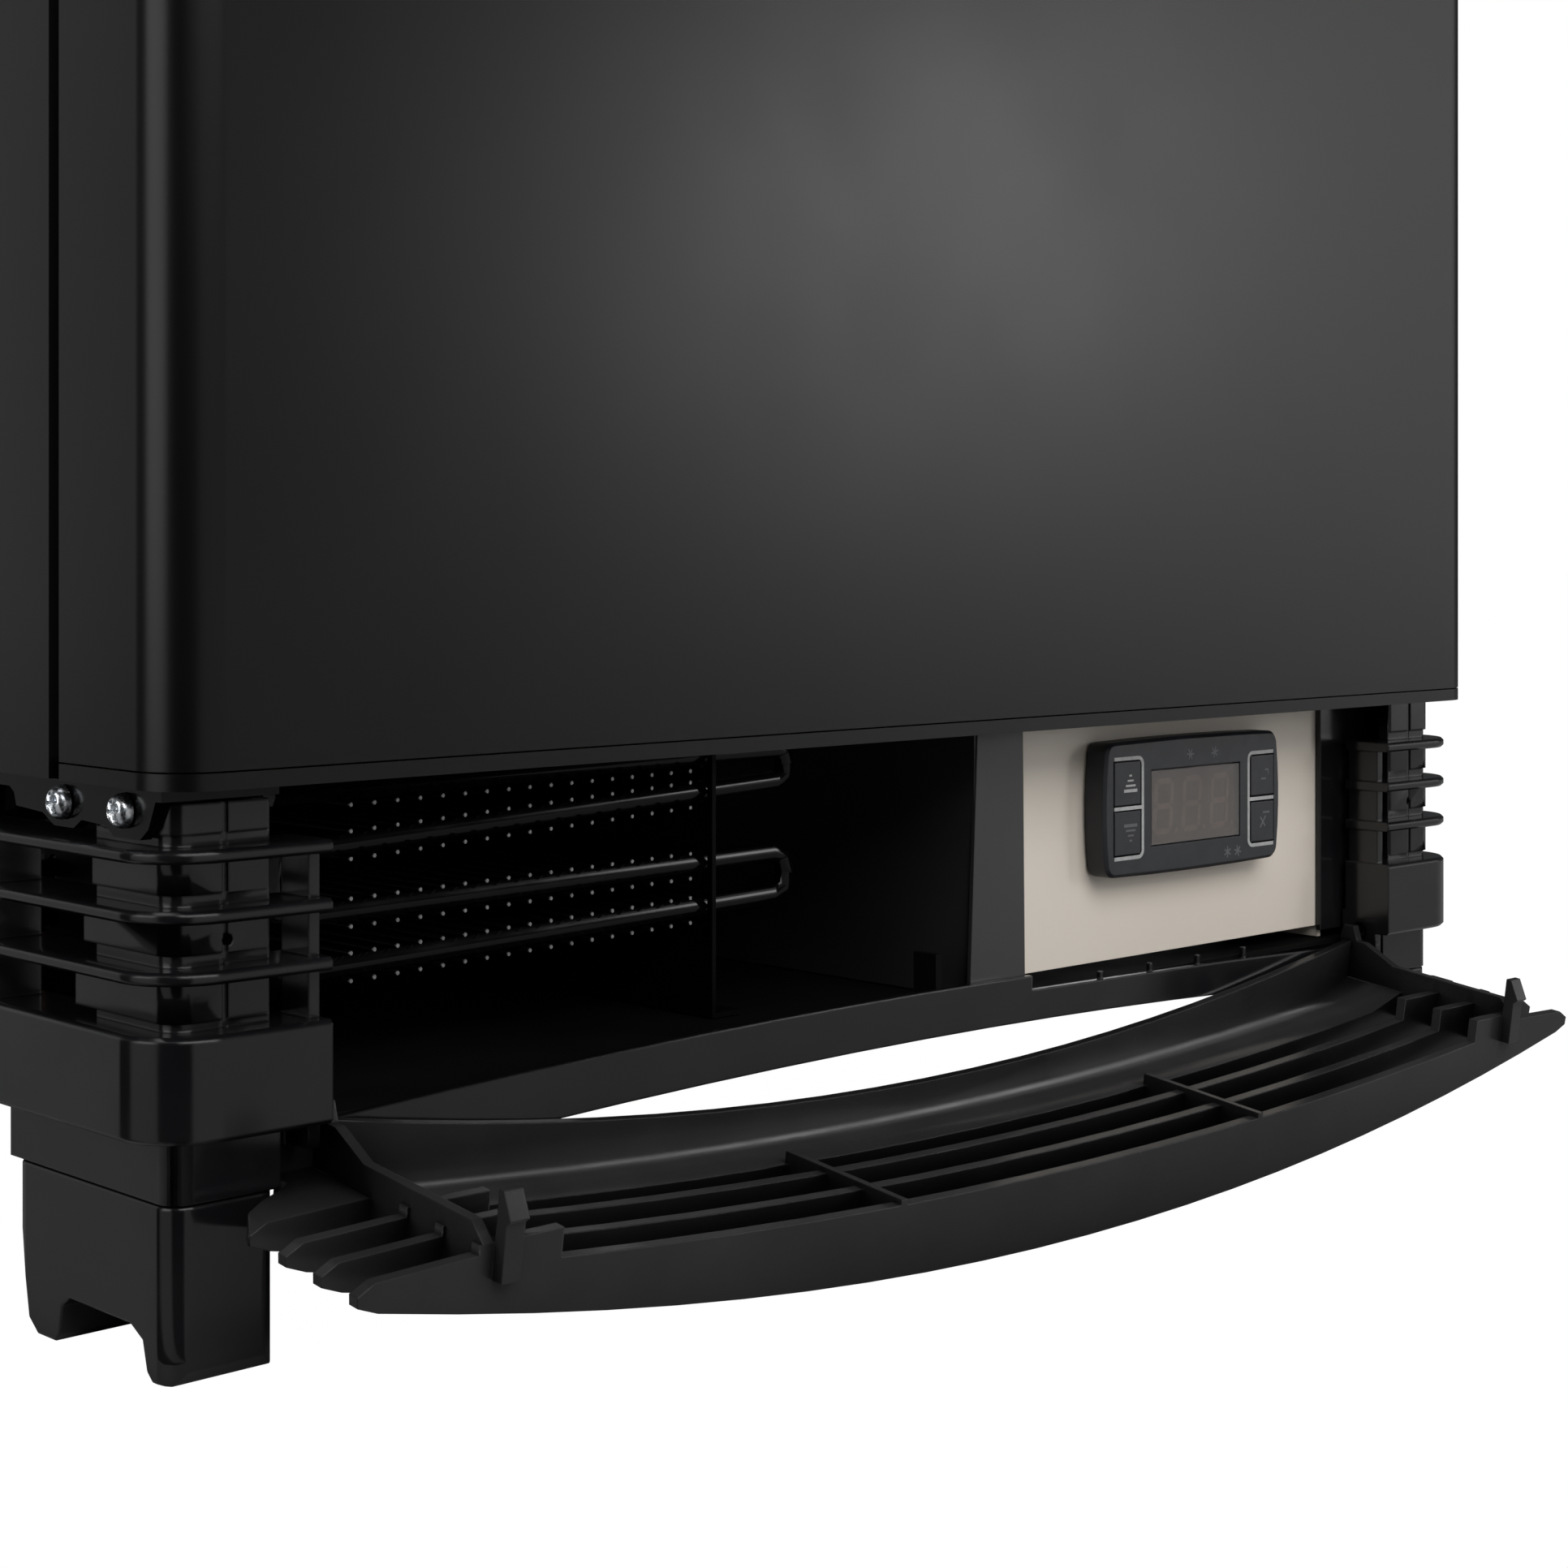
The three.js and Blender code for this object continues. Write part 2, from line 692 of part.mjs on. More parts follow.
const INNER = {
  half: HALF_WIDTH - WALL,
  z0: BODY_BOTTOM + WALL,
  z1: BODY_TOP - WALL,
  back: BODY_BACK - WALL,
  stepY: STEP_FRONT - WALL,
  stepZ: STEP_TOP + WALL,
};

// Side profile of the space inside the cabinet, grown outwards by `grow`.
function cavityProfile(grow, front) {
  return polygon([
    [front, INNER.z0 - grow],
    [INNER.stepY + grow, INNER.z0 - grow],
    [INNER.stepY + grow, INNER.stepZ - grow],
    [INNER.back + grow, INNER.stepZ - grow],
    [INNER.back + grow, INNER.z1 + grow],
    [front, INNER.z1 + grow],
  ]);
}

function bodyProfile(inset) {
  const front = BODY_FRONT + SHEET + GAP;
  return polygon([
    [front, BODY_BOTTOM + 1.2 + inset],
    [STEP_FRONT - 1.2 - inset, BODY_BOTTOM + 1.2 + inset],
    [STEP_FRONT - 1.2 - inset, STEP_TOP + 1.2 + inset],
    [BODY_BACK - 1.2 - inset, STEP_TOP + 1.2 + inset],
    [BODY_BACK - 1.2 - inset, BODY_TOP - SHEET - inset],
    [front, BODY_TOP - SHEET - inset],
  ]);
}

function insulation() {
  const half = HALF_WIDTH - SHEET - GAP;
  const body = alongX(bodyProfile(GAP), -half, half);
  const space = LINER + GAP;
  const hollow = alongX(
    cavityProfile(space, BODY_FRONT - 5),
    -INNER.half - space,
    INNER.half + space,
  );
  const frontRoom = block([-half - 1, half + 1], [30, BODY_FRONT + SHEET + 2.4], [80, 700]);
  return cut(body, hollow, frontRoom);
}

const SHELF_LEVELS = [292, 402];

function innerLiner() {
  const start = BODY_FRONT + SHEET + GAP;
  const outer = alongX(cavityProfile(LINER, start), -INNER.half - LINER, INNER.half + LINER);
  const space = alongX(cavityProfile(0, BODY_FRONT - 5), -INNER.half, INNER.half);
  const edge = block(
    [-HALF_WIDTH + 17, HALF_WIDTH - 17],
    [start, start + LINER],
    [BODY_BOTTOM + 2, BODY_TOP - 17],
  );
  const ledges = SHELF_LEVELS.flatMap((z) =>
    pairSides.map((side) => {
      const xs = side < 0 ? [-INNER.half - 1, -INNER.half + 8] : [INNER.half - 8, INNER.half + 1];
      return block(xs, [62, 400], [z - 4, z - GAP]);
    }),
  );
  return join(cut(join(outer, edge), space), ledges);
}

function bottomDeck() {
  const half = HALF_WIDTH - SHEET - GAP;
  const y0 = BODY_FRONT + SHEET + GAP;
  const floor = block([-half, half], [y0, STEP_FRONT], [BODY_BOTTOM, BODY_BOTTOM + 1]);
  const riser = block([-half, half], [STEP_FRONT - 1, STEP_FRONT], [BODY_BOTTOM, STEP_TOP]);
  const back = BODY_BACK - 1.2;
  const ceiling = block([-half, half], [STEP_FRONT - 1, back], [STEP_TOP, STEP_TOP + 1]);
  return join(floor, riser, ceiling);
}

function rearPanel() {
  const half = HALF_WIDTH - SHEET - GAP;
  return block([-half, half], [BODY_BACK - 0.9, BODY_BACK], [STEP_TOP + 1, BODY_TOP - SHEET - GAP]);
}

function topCover() {
  const outline = roundedBox2d(-HALF_WIDTH, HALF_WIDTH, DOOR_FRONT, BODY_BACK, 12);
  const shell = slab(outline, BODY_TOP + GAP, CAP_TOP, { bevel: 2, detail: 3 });
  const hollow = roundedBox2d(
    -HALF_WIDTH + 3,
    HALF_WIDTH - 3,
    BODY_FRONT + 3,
    BODY_BACK - 3,
    9,
  );
  const underside = slab(hollow, BODY_TOP - 5, CAP_TOP - 3);
  const overDoor = block([-HALF_WIDTH - 1, HALF_WIDTH + 1], [-10, BODY_FRONT - 2], [660, CAP_BOTTOM]);
  const leafRoom = block([-213, -169], [0, 92], [660, CAP_BOTTOM]);
  return cut(shell, underside, overDoor, leafRoom);
}

// ----------------------------------------------------------------- interior
// A lift-out wire shelf: a square-section frame with wires across it.
function shelf(z) {
  const half = INNER.half - 1.2;
  const bar = 4.4;
  const outer = block([-half, half], [66, 396], [z, z + bar]);
  const inner = block([-half + bar, half - bar], [66 + bar, 396 - bar], [z - 1, z + bar + 1]);
  const wires = [];
  for (let i = 1; i < 10; i++) {
    const x = -half + (2 * half * i) / 10;
    wires.push(block([x - 1.2, x + 1.2], [68, 394], [z + 1.6, z + bar - 0.4]));
  }
  return join(outer.subtract(inner), wires);
}

const EVAPORATOR = { half: 128, z0: 468, z1: 630, y0: 404 };

function evaporatorCover() {
  const e = EVAPORATOR;
  const shell = block([-e.half, e.half], [e.y0, INNER.back - GAP], [e.z0, e.z1]);
  const inside = block([-e.half + 2, e.half - 2], [e.y0 + 2, 500], [e.z0 + 2, e.z1 - 2]);
  const mouth = rod([0, 380, 560], [0, 420, 560], 46, 24);
  const slots = [480, 488, 496].map((z) => block([-110, 110], [380, 415], [z - 2, z + 2]));
  const vents = pairSides.map((side) =>
    block([side * 92 - 22, side * 92 + 22], [380, 415], [600, 606]),
  );
  return cut(shell, inside, mouth, slots, vents);
}

function evaporatorCoil() {
  const y0 = 428;
  const y1 = INNER.back - 2;
  const fins = [];
  for (let i = 0; i < 6; i++) {
    const x = -110 + 44 * i;
    fins.push(block([x - 0.6, x + 0.6], [y0, y1], [474, 516]));
  }
  const run = [];
  [480, 492, 504].forEach((z, i) => {
    const ends = i % 2 ? [120, -120] : [-120, 120];
    run.push([ends[0], 437, z], [ends[1], 437, z]);
  });
  const tube = tubeAlong(run, 3.2, { sides: 6, bend: 5, cornerSteps: 2 });
  return join(fins, tube);
}

function evaporatorMotor() {
  const body = rod([0, 424, 560], [0, INNER.back - 1, 560], 17, 14);
  const shaft = rod([0, 416, 560], [0, 426, 560], 2, 8);
  const arms = [0, 1, 2].map((i) => {
    const angle = (Math.PI * (0.5 + (2 * i) / 3));
    const end = [52 * Math.cos(angle), 436, 560 + 52 * Math.sin(angle)];
    return rod([0, 436, 560], end, 2, 6);
  });
  return join(body, shaft, arms);
}

// A fan rotor on an axis along Y, with its hub open to the motor shaft.
function fanRotor([x, y, z], radius, width, blades, boreRadius) {
  const hub = rod([x, y, z], [x, y + width, z], radius * 0.27, 16);
  const wings = [];
  for (let i = 0; i < blades; i++) {
    const flat = polygon([
      [radius * 0.2, -radius * 0.1],
      [radius * 0.96, -radius * 0.36],
      [radius, radius * 0.12],
      [radius * 0.88, radius * 0.34],
      [radius * 0.2, radius * 0.16],
    ]);
    const wing = alongY(flat, -0.8, 0.8);
    const pitched = turned(wing, AXIS_X, 24, [0, 0, 0]);
    const placed = turned(pitched, Y_UP, (360 * i) / blades, [0, 0, 0]);
    wings.push(placed.translate([x, y + width / 2, z]));
  }
  const sweep = rod([x, y + 0.5, z], [x, y + width - 0.5, z], radius, 32);
  const bore = rod([x, y + 2, z], [x, y + width + 1, z], boreRadius, 12);
  return join(hub, wings).intersect(join(hub, sweep)).subtract(bore);
}

function lampStrip() {
  return block([-120, 120], [62, 76], [INNER.z1 - 7, INNER.z1 - GAP]);
}

// -------------------------------------------------------------- machine bay
// The serpentine condenser tube: four sloping passes in each of three planes.
function condenserPath() {
  const points = [];
  COIL_PLANES.forEach((y, plane) => {
    const rows = plane % 2 ? [...COIL_ROWS].reverse() : COIL_ROWS;
    rows.forEach((row, i) => {
      const towardsRight = i % 2 === 0;
      const a = [COIL_LEFT, y, row.left];
      const b = [COIL_RIGHT, y, row.right];
      points.push(...(towardsRight ? [a, b] : [b, a]));
    });
  });
  return points;
}

function condenserCoil() {
  return tubeAlong(condenserPath(), COIL_TUBE, { sides: 6, bend: 5, cornerSteps: 2 });
}

function coilBracket(x, front) {
  const z0 = TRAY_BOTTOM + TRAY_THICKNESS + GAP;
  const y = [front, 160];
  const foot = block([x - 1, x + 8], y, [z0, z0 + 1.2]);
  const web = block([x - 1, x + 0.2], y, [z0, 110]);
  const slots = COIL_PLANES.flatMap((plane) =>
    COIL_ROWS.map((row) => {
      const share = (x - COIL_LEFT) / (COIL_RIGHT - COIL_LEFT);
      const z = row.left + (row.right - row.left) * share;
      return rod([x - 4, plane, z], [x + 3, plane, z], COIL_TUBE + 0.9, 6);
    }),
  );
  return cut(join(foot, web), slots);
}

const FAN = { x: -92, z: 128, y: 306, radius: 62 };

function fanShroud() {
  const z0 = TRAY_BOTTOM + TRAY_THICKNESS + GAP;
  const plate = block([-190, -2], [296, 297.4], [z0, STEP_TOP - GAP]);
  const foot = block([-190, -2], [296, 308], [z0, z0 + 1.4]);
  const mouth = rod([FAN.x, 280, FAN.z], [FAN.x, 310, FAN.z], FAN.radius + 3, 32);
  const ringOuter = rod([FAN.x, 296, FAN.z], [FAN.x, 306, FAN.z], FAN.radius + 5, 32);
  return join(plate, foot, ringOuter).subtract(mouth);
}

function fanMotor() {
  const body = rod([FAN.x, 330, FAN.z], [FAN.x, 366, FAN.z], 26, 18);
  const shaft = rod([FAN.x, 312, FAN.z], [FAN.x, 331, FAN.z], 2.5, 8);
  const arms = [-1, 1].flatMap((side) => {
    const x = FAN.x + side * 72;
    return [
      block([Math.min(FAN.x, x), Math.max(FAN.x, x)], [344, 347], [FAN.z - 5, FAN.z + 5]),
      block([x - 1.5, x + 1.5], [298, 347], [FAN.z - 5, FAN.z + 5]),
    ];
  });
  return join(body, shaft, arms);
}

const COMPRESSOR = { x: 92, y: 382 };
const PLATE_Z = TRAY_BOTTOM + TRAY_THICKNESS + GAP + 10;

function compressorShell() {
  const profile = [
    [0, 0],
    [44, 0],
    [58, 8],
    [62, 26],
    [62, 34],
    [65, 36],
    [65, 40],
    [62, 42],
    [60, 84],
    [50, 104],
    [30, 114],
    [0, 117],
  ];
  const at = [COMPRESSOR.x, COMPRESSOR.y, PLATE_Z + 3];
  return lathe(profile, at, 20);
}

function compressorPlate() {
  const { x, y } = COMPRESSOR;
  const outline = roundedBox2d(x - 84, x + 84, y - 55, y + 55, 12);
  const plate = slab(outline, PLATE_Z, PLATE_Z + 2.6);
  const holes = grommetSpots().map(([gx, gy]) =>
    rod([gx, gy, PLATE_Z - 2], [gx, gy, PLATE_Z + 6], 6.4, 10),
  );
  return cut(plate, holes);
}

function grommetSpots() {
  const { x, y } = COMPRESSOR;
  return [-1, 1].flatMap((sx) => [-1, 1].map((sy) => [x + sx * 72, y + sy * 43]));
}

function grommet([x, y]) {
  const z0 = TRAY_BOTTOM + TRAY_THICKNESS + GAP;
  const lower = rod([x, y, z0], [x, y, PLATE_Z - GAP], 9, 10);
  const neck = rod([x, y, z0], [x, y, PLATE_Z + 4], 5.6, 10);
  const upper = rod([x, y, PLATE_Z + 2.6 + GAP], [x, y, PLATE_Z + 6], 8.5, 10);
  return join(lower, neck, upper);
}

function terminalCover() {
  const { x, y } = COMPRESSOR;
  return block([x - 22, x + 22], [y - 88, y - 65.5], [PLATE_Z + 30, PLATE_Z + 74]);
}

function dripTray() {
  const { x, y } = COMPRESSOR;
  const z0 = PLATE_Z + 3 + 117 + GAP;
  const outer = slab(roundedBox2d(x - 66, x + 66, y - 60, y + 60, 10), z0, z0 + 24);
  const inner = slab(roundedBox2d(x - 64, x + 64, y - 58, y + 58, 8), z0 + 2, z0 + 40);
  return outer.subtract(inner);
}

function dischargeTube() {
  const { x, y } = COMPRESSOR;
  return tubeAlong(
    [
      [x - 65.6, y - 10, PLATE_Z + 60],
      [x - 84, y - 10, PLATE_Z + 60],
      [x - 84, y - 10, 90],
      [x - 84, 172, 90],
      [COIL_RIGHT + 6, 172, 90],
    ],
    2.6,
    { sides: 8, bend: 9 },
  );
}

function suctionTube() {
  const { x, y } = COMPRESSOR;
  return tubeAlong(
    [
      [x + 65.6, y + 8, PLATE_Z + 70],
      [x + 84, y + 8, PLATE_Z + 70],
      [x + 84, y + 44, PLATE_Z + 70],
      [x + 84, y + 44, STEP_TOP - 1],
    ],
    3.2,
    { sides: 8, bend: 9 },
  );
}

function filterDrier() {
  const x = -10;
  const y = 410;
  const body = rod([x, y, 70], [x, y, 160], 9, 14);
  const tails = rod([x, y, 58], [x, y, 186], 2.4, 8);
  return join(body, tails);
}

// ------------------------------------------------------------ control panel
// Black flange and side wall that part the controls from the condenser.
function controlDivider() {
  const z0 = TRAY_BOTTOM + TRAY_THICKNESS + GAP;
  const flange = alongY(
    polygon([
      [18.6, z0],
      [39, z0],
      [38.2, 110.4],
      [21.4, 110.4],
    ]),
    DIVIDER_Y - 0.4,
    DIVIDER_Y + 0.8,
  );
  const wall = block([20.6, 22], [DIVIDER_Y, 284], [z0, 110.4]);
  const foot = block([20.6, 34], [40, 284], [z0, z0 + 1.4]);
  return join(flange, wall, foot);
}

function controlPlate() {
  const z0 = TRAY_BOTTOM + TRAY_THICKNESS + GAP;
  const plate = block([36, 170.6], [PANEL_Y, PANEL_Y + 1.5], [47.8, 110.4]);
  const c = CONTROLLER;
  const window = block([c.x0 + 2, c.x1 - 2], [0, 40], [c.z0 + 2.6, c.z1 - 2.6]);
  const side = block([169.1, 170.6], [PANEL_Y, 60], [z0, 110.4]);
  return join(plate, side).subtract(window);
}

// Outline of the controller face: long sides nearly straight, ends bulged.
function controllerOutline(inset) {
  const c = CONTROLLER;
  const x0 = c.x0 + inset;
  const x1 = c.x1 - inset;
  const z0 = c.z0 + inset;
  const z1 = c.z1 - inset;
  const bulge = 1.6;
  const corner = 3 - inset / 2;
  const mid = (z0 + z1) / 2;
  const shape = new THREE.Shape();
  shape.moveTo(x0 + bulge + corner, z0);
  shape.quadraticCurveTo((x0 + x1) / 2, z0 - 0.8, x1 - bulge - corner, z0);
  shape.quadraticCurveTo(x1 - bulge, z0, x1 - bulge * 0.6, z0 + corner);
  shape.quadraticCurveTo(x1 + bulge * 0.6, mid, x1 - bulge * 0.6, z1 - corner);
  shape.quadraticCurveTo(x1 - bulge, z1, x1 - bulge - corner, z1);
  shape.quadraticCurveTo((x0 + x1) / 2, z1 + 0.8, x0 + bulge + corner, z1);
  shape.quadraticCurveTo(x0 + bulge, z1, x0 + bulge * 0.6, z1 - corner);
  shape.quadraticCurveTo(x0 - bulge * 0.6, mid, x0 + bulge * 0.6, z0 + corner);
  shape.quadraticCurveTo(x0 + bulge, z0, x0 + bulge + corner, z0);
  return shape;
}

const FACE_Y = PANEL_Y - CONTROLLER.proud;
const KEYS = {
  button_up: { x0: 69.6, x1: 80.2, z0: 88.7, z1: 99.9 },
  button_down: { x0: 69.6, x1: 80.2, z0: 75.9, z1: 87.1 },
  button_set: { x0: 127.6, x1: 137.8, z0: 87.7, z1: 98.5 },
  button_aux: { x0: 127.6, x1: 137.8, z0: 75.1, z1: 85.9 },
};
const DISPLAY = { x0: 85, x1: 122.5, z0: 77.6, z1: 96.9 };

function rectBlock(r, y0, y1, grow = 0) {
  return block([r.x0 - grow, r.x1 + grow], [y0, y1], [r.z0 - grow, r.z1 + grow]);
}

function controllerBody() {
  const c = CONTROLLER;
  const bezel = alongY(controllerOutline(0), FACE_Y, PANEL_Y - GAP, {
    bevel: 0.8,
    detail: 5,
  });
  const housing = block(
    [c.x0 + 2.6, c.x1 - 2.6],
    [PANEL_Y - 1, PANEL_Y + 58],
    [c.z0 + 3.2, c.z1 - 3.2],
  );
  const pockets = [DISPLAY, ...Object.values(KEYS)].map((r) =>
    rectBlock(r, FACE_Y - 1, FACE_Y + 2.6, 0.35),
  );
  return cut(join(bezel, housing), pockets);
}

function keyCap(r) {
  return rectBlock(r, FACE_Y - 0.15, FACE_Y + 1.6);
}

function displayWindow() {
  return rectBlock(DISPLAY, FACE_Y + 0.1, FACE_Y + 2.2);
}

// ------------------------------------------------------------ front grille
const frontArc = (x, offset = 0) => GRILLE_FRONT + offset + x ** 2 / (2 * GRILLE_RADIUS);
const rearArc = (x) => -12.3 + x ** 2 / 3200;
const lipArc = (x) => -7.8 + x ** 2 / (2 * 895);

function span(from, to, steps, place) {
  return Array.from({ length: steps + 1 }, (_, i) => {
    const x = from + ((to - from) * i) / steps;
    return [x, place(x)];
  });
}

// Plan of one blade: bowed front, thin tips, deeper where the end plates stand.
function bladePlan() {
  const tip = GRILLE_TIP;
  return polygon([
    ...span(-tip + 5, tip - 5, 22, (x) => frontArc(x)),
    [tip - 0.6, -5.6],
    [tip - 0.4, -3.6],
    [tip - 4, -1.6],
    [174.5, -0.9],
    [174.5, 1],
    [155, 1],
    ...span(155, -155, 14, rearArc),
    [-155, 1],
    [-174.5, 1],
    [-174.5, -0.9],
    [-tip + 4, -1.6],
    [-tip + 0.4, -3.6],
    [-tip + 0.6, -5.6],
  ]);
}

function grilleBand() {
  const tip = GRILLE_TIP;
  const plan = polygon([
    ...span(-tip + 5, tip - 5, 22, (x) => frontArc(x)),
    [tip - 0.6, -5.6],
    [tip - 0.4, -3.6],
    [tip - 4, -1.6],
    [174.5, -0.9],
    ...span(158, -158, 14, (x) => rearArc(x) - 1.6),
    [-174.5, -0.9],
    [-tip + 4, -1.6],
    [-tip + 0.4, -3.6],
    [-tip + 0.6, -5.6],
  ]);
  const beam = slab(plan, BAND_BOTTOM, BAND_TOP);
  const core = polygon([
    ...span(-168, 168, 18, (x) => frontArc(x, 2.6)),
    ...span(150, -150, 12, (x) => rearArc(x) - 4.2),
  ]);
  const hollow = slab(core, BAND_BOTTOM - 1, BAND_TOP - 2.6);
  const endCut = pairSides.map((side) => {
    const outline = [
      [182.6, 44],
      [183, 50.6],
      [186, 53],
      [192, 56],
      [197.6, 60],
      [200.4, 65],
      [206, 65],
      [206, 44],
    ].map(([x, z]) => [side * x, z]);
    return alongY(polygon(side > 0 ? outline : outline.reverse()), -40, 10);
  });
  const webs = [-120, -62.5, 0, 61.5, 120].map((x) =>
    block([x - 1, x + 1], [frontArc(x) + 1, rearArc(x) - 2], [BAND_BOTTOM + 0.4, BAND_TOP - 1]),
  );
  return cut(join(beam.subtract(hollow), webs), endCut);
}

function grilleLip() {
  const plan = polygon([
    ...span(-171, 171, 20, (x) => rearArc(x) - 3.4),
    ...span(171, -171, 20, lipArc),
  ]);
  return slab(plan, BAND_BOTTOM, BAND_BOTTOM + 2.2);
}

function grilleEnd(side) {
  const x = side * 172.6;
  const xs = [x - 1.2, x + 1.2];
  const z1 = FIN_HEIGHTS[2] + 1.3;
  const plate = alongX(
    polygon([
      [-9, BAND_BOTTOM + 1],
      [8.6, BAND_BOTTOM - 0.2],
      [8.6, 52],
      [4.4, 62],
      [4.4, 96],
      [1, z1],
      [-9, z1],
    ]),
    ...xs,
  );
  const pinX = side < 0 ? [-180.4, -171.6] : [171.6, 180.4];
  const pin = rod([pinX[0], HINGE_AXIS.y, HINGE_AXIS.z], [pinX[1], HINGE_AXIS.y, HINGE_AXIS.z], 2.2, 12);
  const arm = alongX(
    polygon([
      [4, BAND_BOTTOM + 0.2],
      [HINGE_AXIS.y - 1, HINGE_AXIS.z - 2.2],
      [HINGE_AXIS.y + 2.6, HINGE_AXIS.z - 1.2],
      [HINGE_AXIS.y + 2.6, HINGE_AXIS.z + 1.8],
      [HINGE_AXIS.y - 1, HINGE_AXIS.z + 3.4],
      [4, HINGE_AXIS.z + 6],
    ]),
    ...xs,
  );
  return join(plate, pin, arm);
}

// A springy tongue with an arrow head that snaps behind the opening's edge.
function snapClip(side) {
  const z = FIN_HEIGHTS[2];
  const x = side * 169;
  const profile = polygon([
    [-6, z - 1],
    [-6, z + 4.2],
    [5, z + 4.2],
    [6, z + 5.4],
    [11, z + 2.8],
    [11, z + 1.4],
    [5, z + 1.4],
    [-2, z + 1.2],
    [-2, z - 1],
  ]);
  return alongX(profile, x - 2.2, x + 2.2);
}

function grilleClosed() {
  const blades = FIN_HEIGHTS.map((z) =>
    slab(bladePlan(), z - FIN_THICKNESS / 2, z + FIN_THICKNESS / 2),
  );
  const crossRibs = [-62.5, 61.5].map((x) =>
    block([x - 0.9, x + 0.9], [frontArc(x) + 3.5, rearArc(x) + 1.2], [BAND_TOP - 1, 100]),
  );
  const upper = [-1, 1].map((side) => join(grilleEnd(side), snapClip(side)));
  return join(blades, grilleBand(), grilleLip(), crossRibs, upper);
}

function grilleOpen() {
  const pivot = [0, HINGE_AXIS.y, HINGE_AXIS.z];
  return turned(grilleClosed(), AXIS_X, GRILLE_OPEN_DEG, pivot);
}

// --------------------------------------------------------------- rear cover
const REAR_SCREWS = [-1, 1].map((side) => [side * 184, 82]);
const REAR_Y = PLINTH_BACK + 0.6;

function rearCover() {
  const panel = block([-190.5, 190.5], [REAR_Y, REAR_Y + 1.2], [71, 233.6]);
  const slots = [];
  for (let row = 0; row < 6; row++) {
    for (const x of [-85, 85]) {
      const z = 116 + 19 * row;
      slots.push(block([x - 76, x + 76], [REAR_Y - 2, REAR_Y + 4], [z - 4, z + 4]));
    }
  }
  const gland = rod([150, REAR_Y - 2, 90], [150, REAR_Y + 4, 90], 8.4, 16);
  const holes = REAR_SCREWS.map(([x, z]) =>
    rod([x, REAR_Y - 2, z], [x, REAR_Y + 4, z], 2.4, 10),
  );
  return cut(panel, slots, gland, holes);
}

function rearScrew([x, z]) {
  const y = REAR_Y + 1.2 + GAP;
  const head = rod([x, y, z], [x, y + 2, z], 3.4, 16);
  const shank = rod([x, y - 9, z], [x, y + 0.5, z], 1.8, 10);
  return join(head, shank);
}

function cordGland() {
  const flange = rod([150, REAR_Y + 1.2 + GAP, 90], [150, REAR_Y + 3.4, 90], 11, 16);
  const barrel = rod([150, REAR_Y - 10, 90], [150, REAR_Y + 2, 90], 8, 16);
  return join(flange, barrel).subtract(rod([150, REAR_Y - 12, 90], [150, REAR_Y + 6, 90], 4, 12));
}

// ----------------------------------------------------------------- assembly
piece("plinth_moulding", plinth(), BLACK_PLASTIC, { rough: 0.25 });
piece("foot_front_left", foot(-1, false), BLACK_PLASTIC, { rough: 0.3 });
piece("foot_front_right", foot(1, false), BLACK_PLASTIC, { rough: 0.3 });
piece("foot_rear_right", foot(-1, true), BLACK_PLASTIC, { rough: 0.3 });
piece("foot_rear_left", foot(1, true), BLACK_PLASTIC, { rough: 0.3 });
piece("base_tray", baseTray(), BLACK_PAINT, { rough: 0.5 });
piece("front_grille", grilleOpen(), BLACK_PLASTIC, { rough: 0.35 });

piece("outer_wrap", outerWrap(), BLACK_PAINT, { rough: 0.4 });
piece("top_cover", topCover(), BLACK_PLASTIC, { rough: 0.35 });
piece("rear_panel", rearPanel(), 0x8f9498, { rough: 0.5, metal: 0.6 });
piece("bottom_deck", bottomDeck(), 0x8f9498, { rough: 0.5, metal: 0.6 });
piece("cabinet_insulation", insulation(), 0xe6d9a8, { rough: 0.95 });
piece("inner_liner", innerLiner(), WHITE_PLASTIC, { rough: 0.4 });
SHELF_LEVELS.forEach((z, i) => piece("shelf_" + (i + 1), shelf(z), ALUMINIUM, { metal: 0.8 }));
piece("evaporator_cover", evaporatorCover(), WHITE_PLASTIC, { rough: 0.4 });
piece("evaporator_coil", evaporatorCoil(), ALUMINIUM, { metal: 0.8 });
piece("evaporator_fan_motor", evaporatorMotor(), 0x2b2b2d);
piece("evaporator_fan_rotor", fanRotor([0, 409, 560], 42, 10, 5, 2.6), 0x303236);
piece("interior_lamp", lampStrip(), 0xf4f6f2, { rough: 0.3 });

piece("door_skin", doorSkin(), BLACK_PAINT, { rough: 0.35 });
piece("door_insulation", doorFoam(), 0xe6d9a8, { rough: 0.95 });
piece("door_cap_bottom", doorCap(DOOR_BOTTOM, DOOR_BOTTOM + DOOR_CAP), BLACK_PLASTIC);
piece("door_cap_top", doorCap(DOOR_TOP - DOOR_CAP, DOOR_TOP), BLACK_PLASTIC);
piece("door_liner", doorLiner(), WHITE_PLASTIC, { rough: 0.4 });
piece("door_gasket", doorGasket(), 0x2c2c2e, { rough: 0.8 });
piece("door_handle", doorHandle(), BLACK_PLASTIC, { rough: 0.35 });
piece("hinge_bracket_lower", lowerBracket(), BLACK_PAINT, { rough: 0.4, metal: 0.4 });
piece("hinge_bracket_upper", upperBracket(), BLACK_PAINT, { rough: 0.4, metal: 0.4 });
HINGE_SCREWS.forEach((y, i) => piece("hinge_screw_" + (i + 1), sideScrew(y), ZINC, { metal: 1 }));

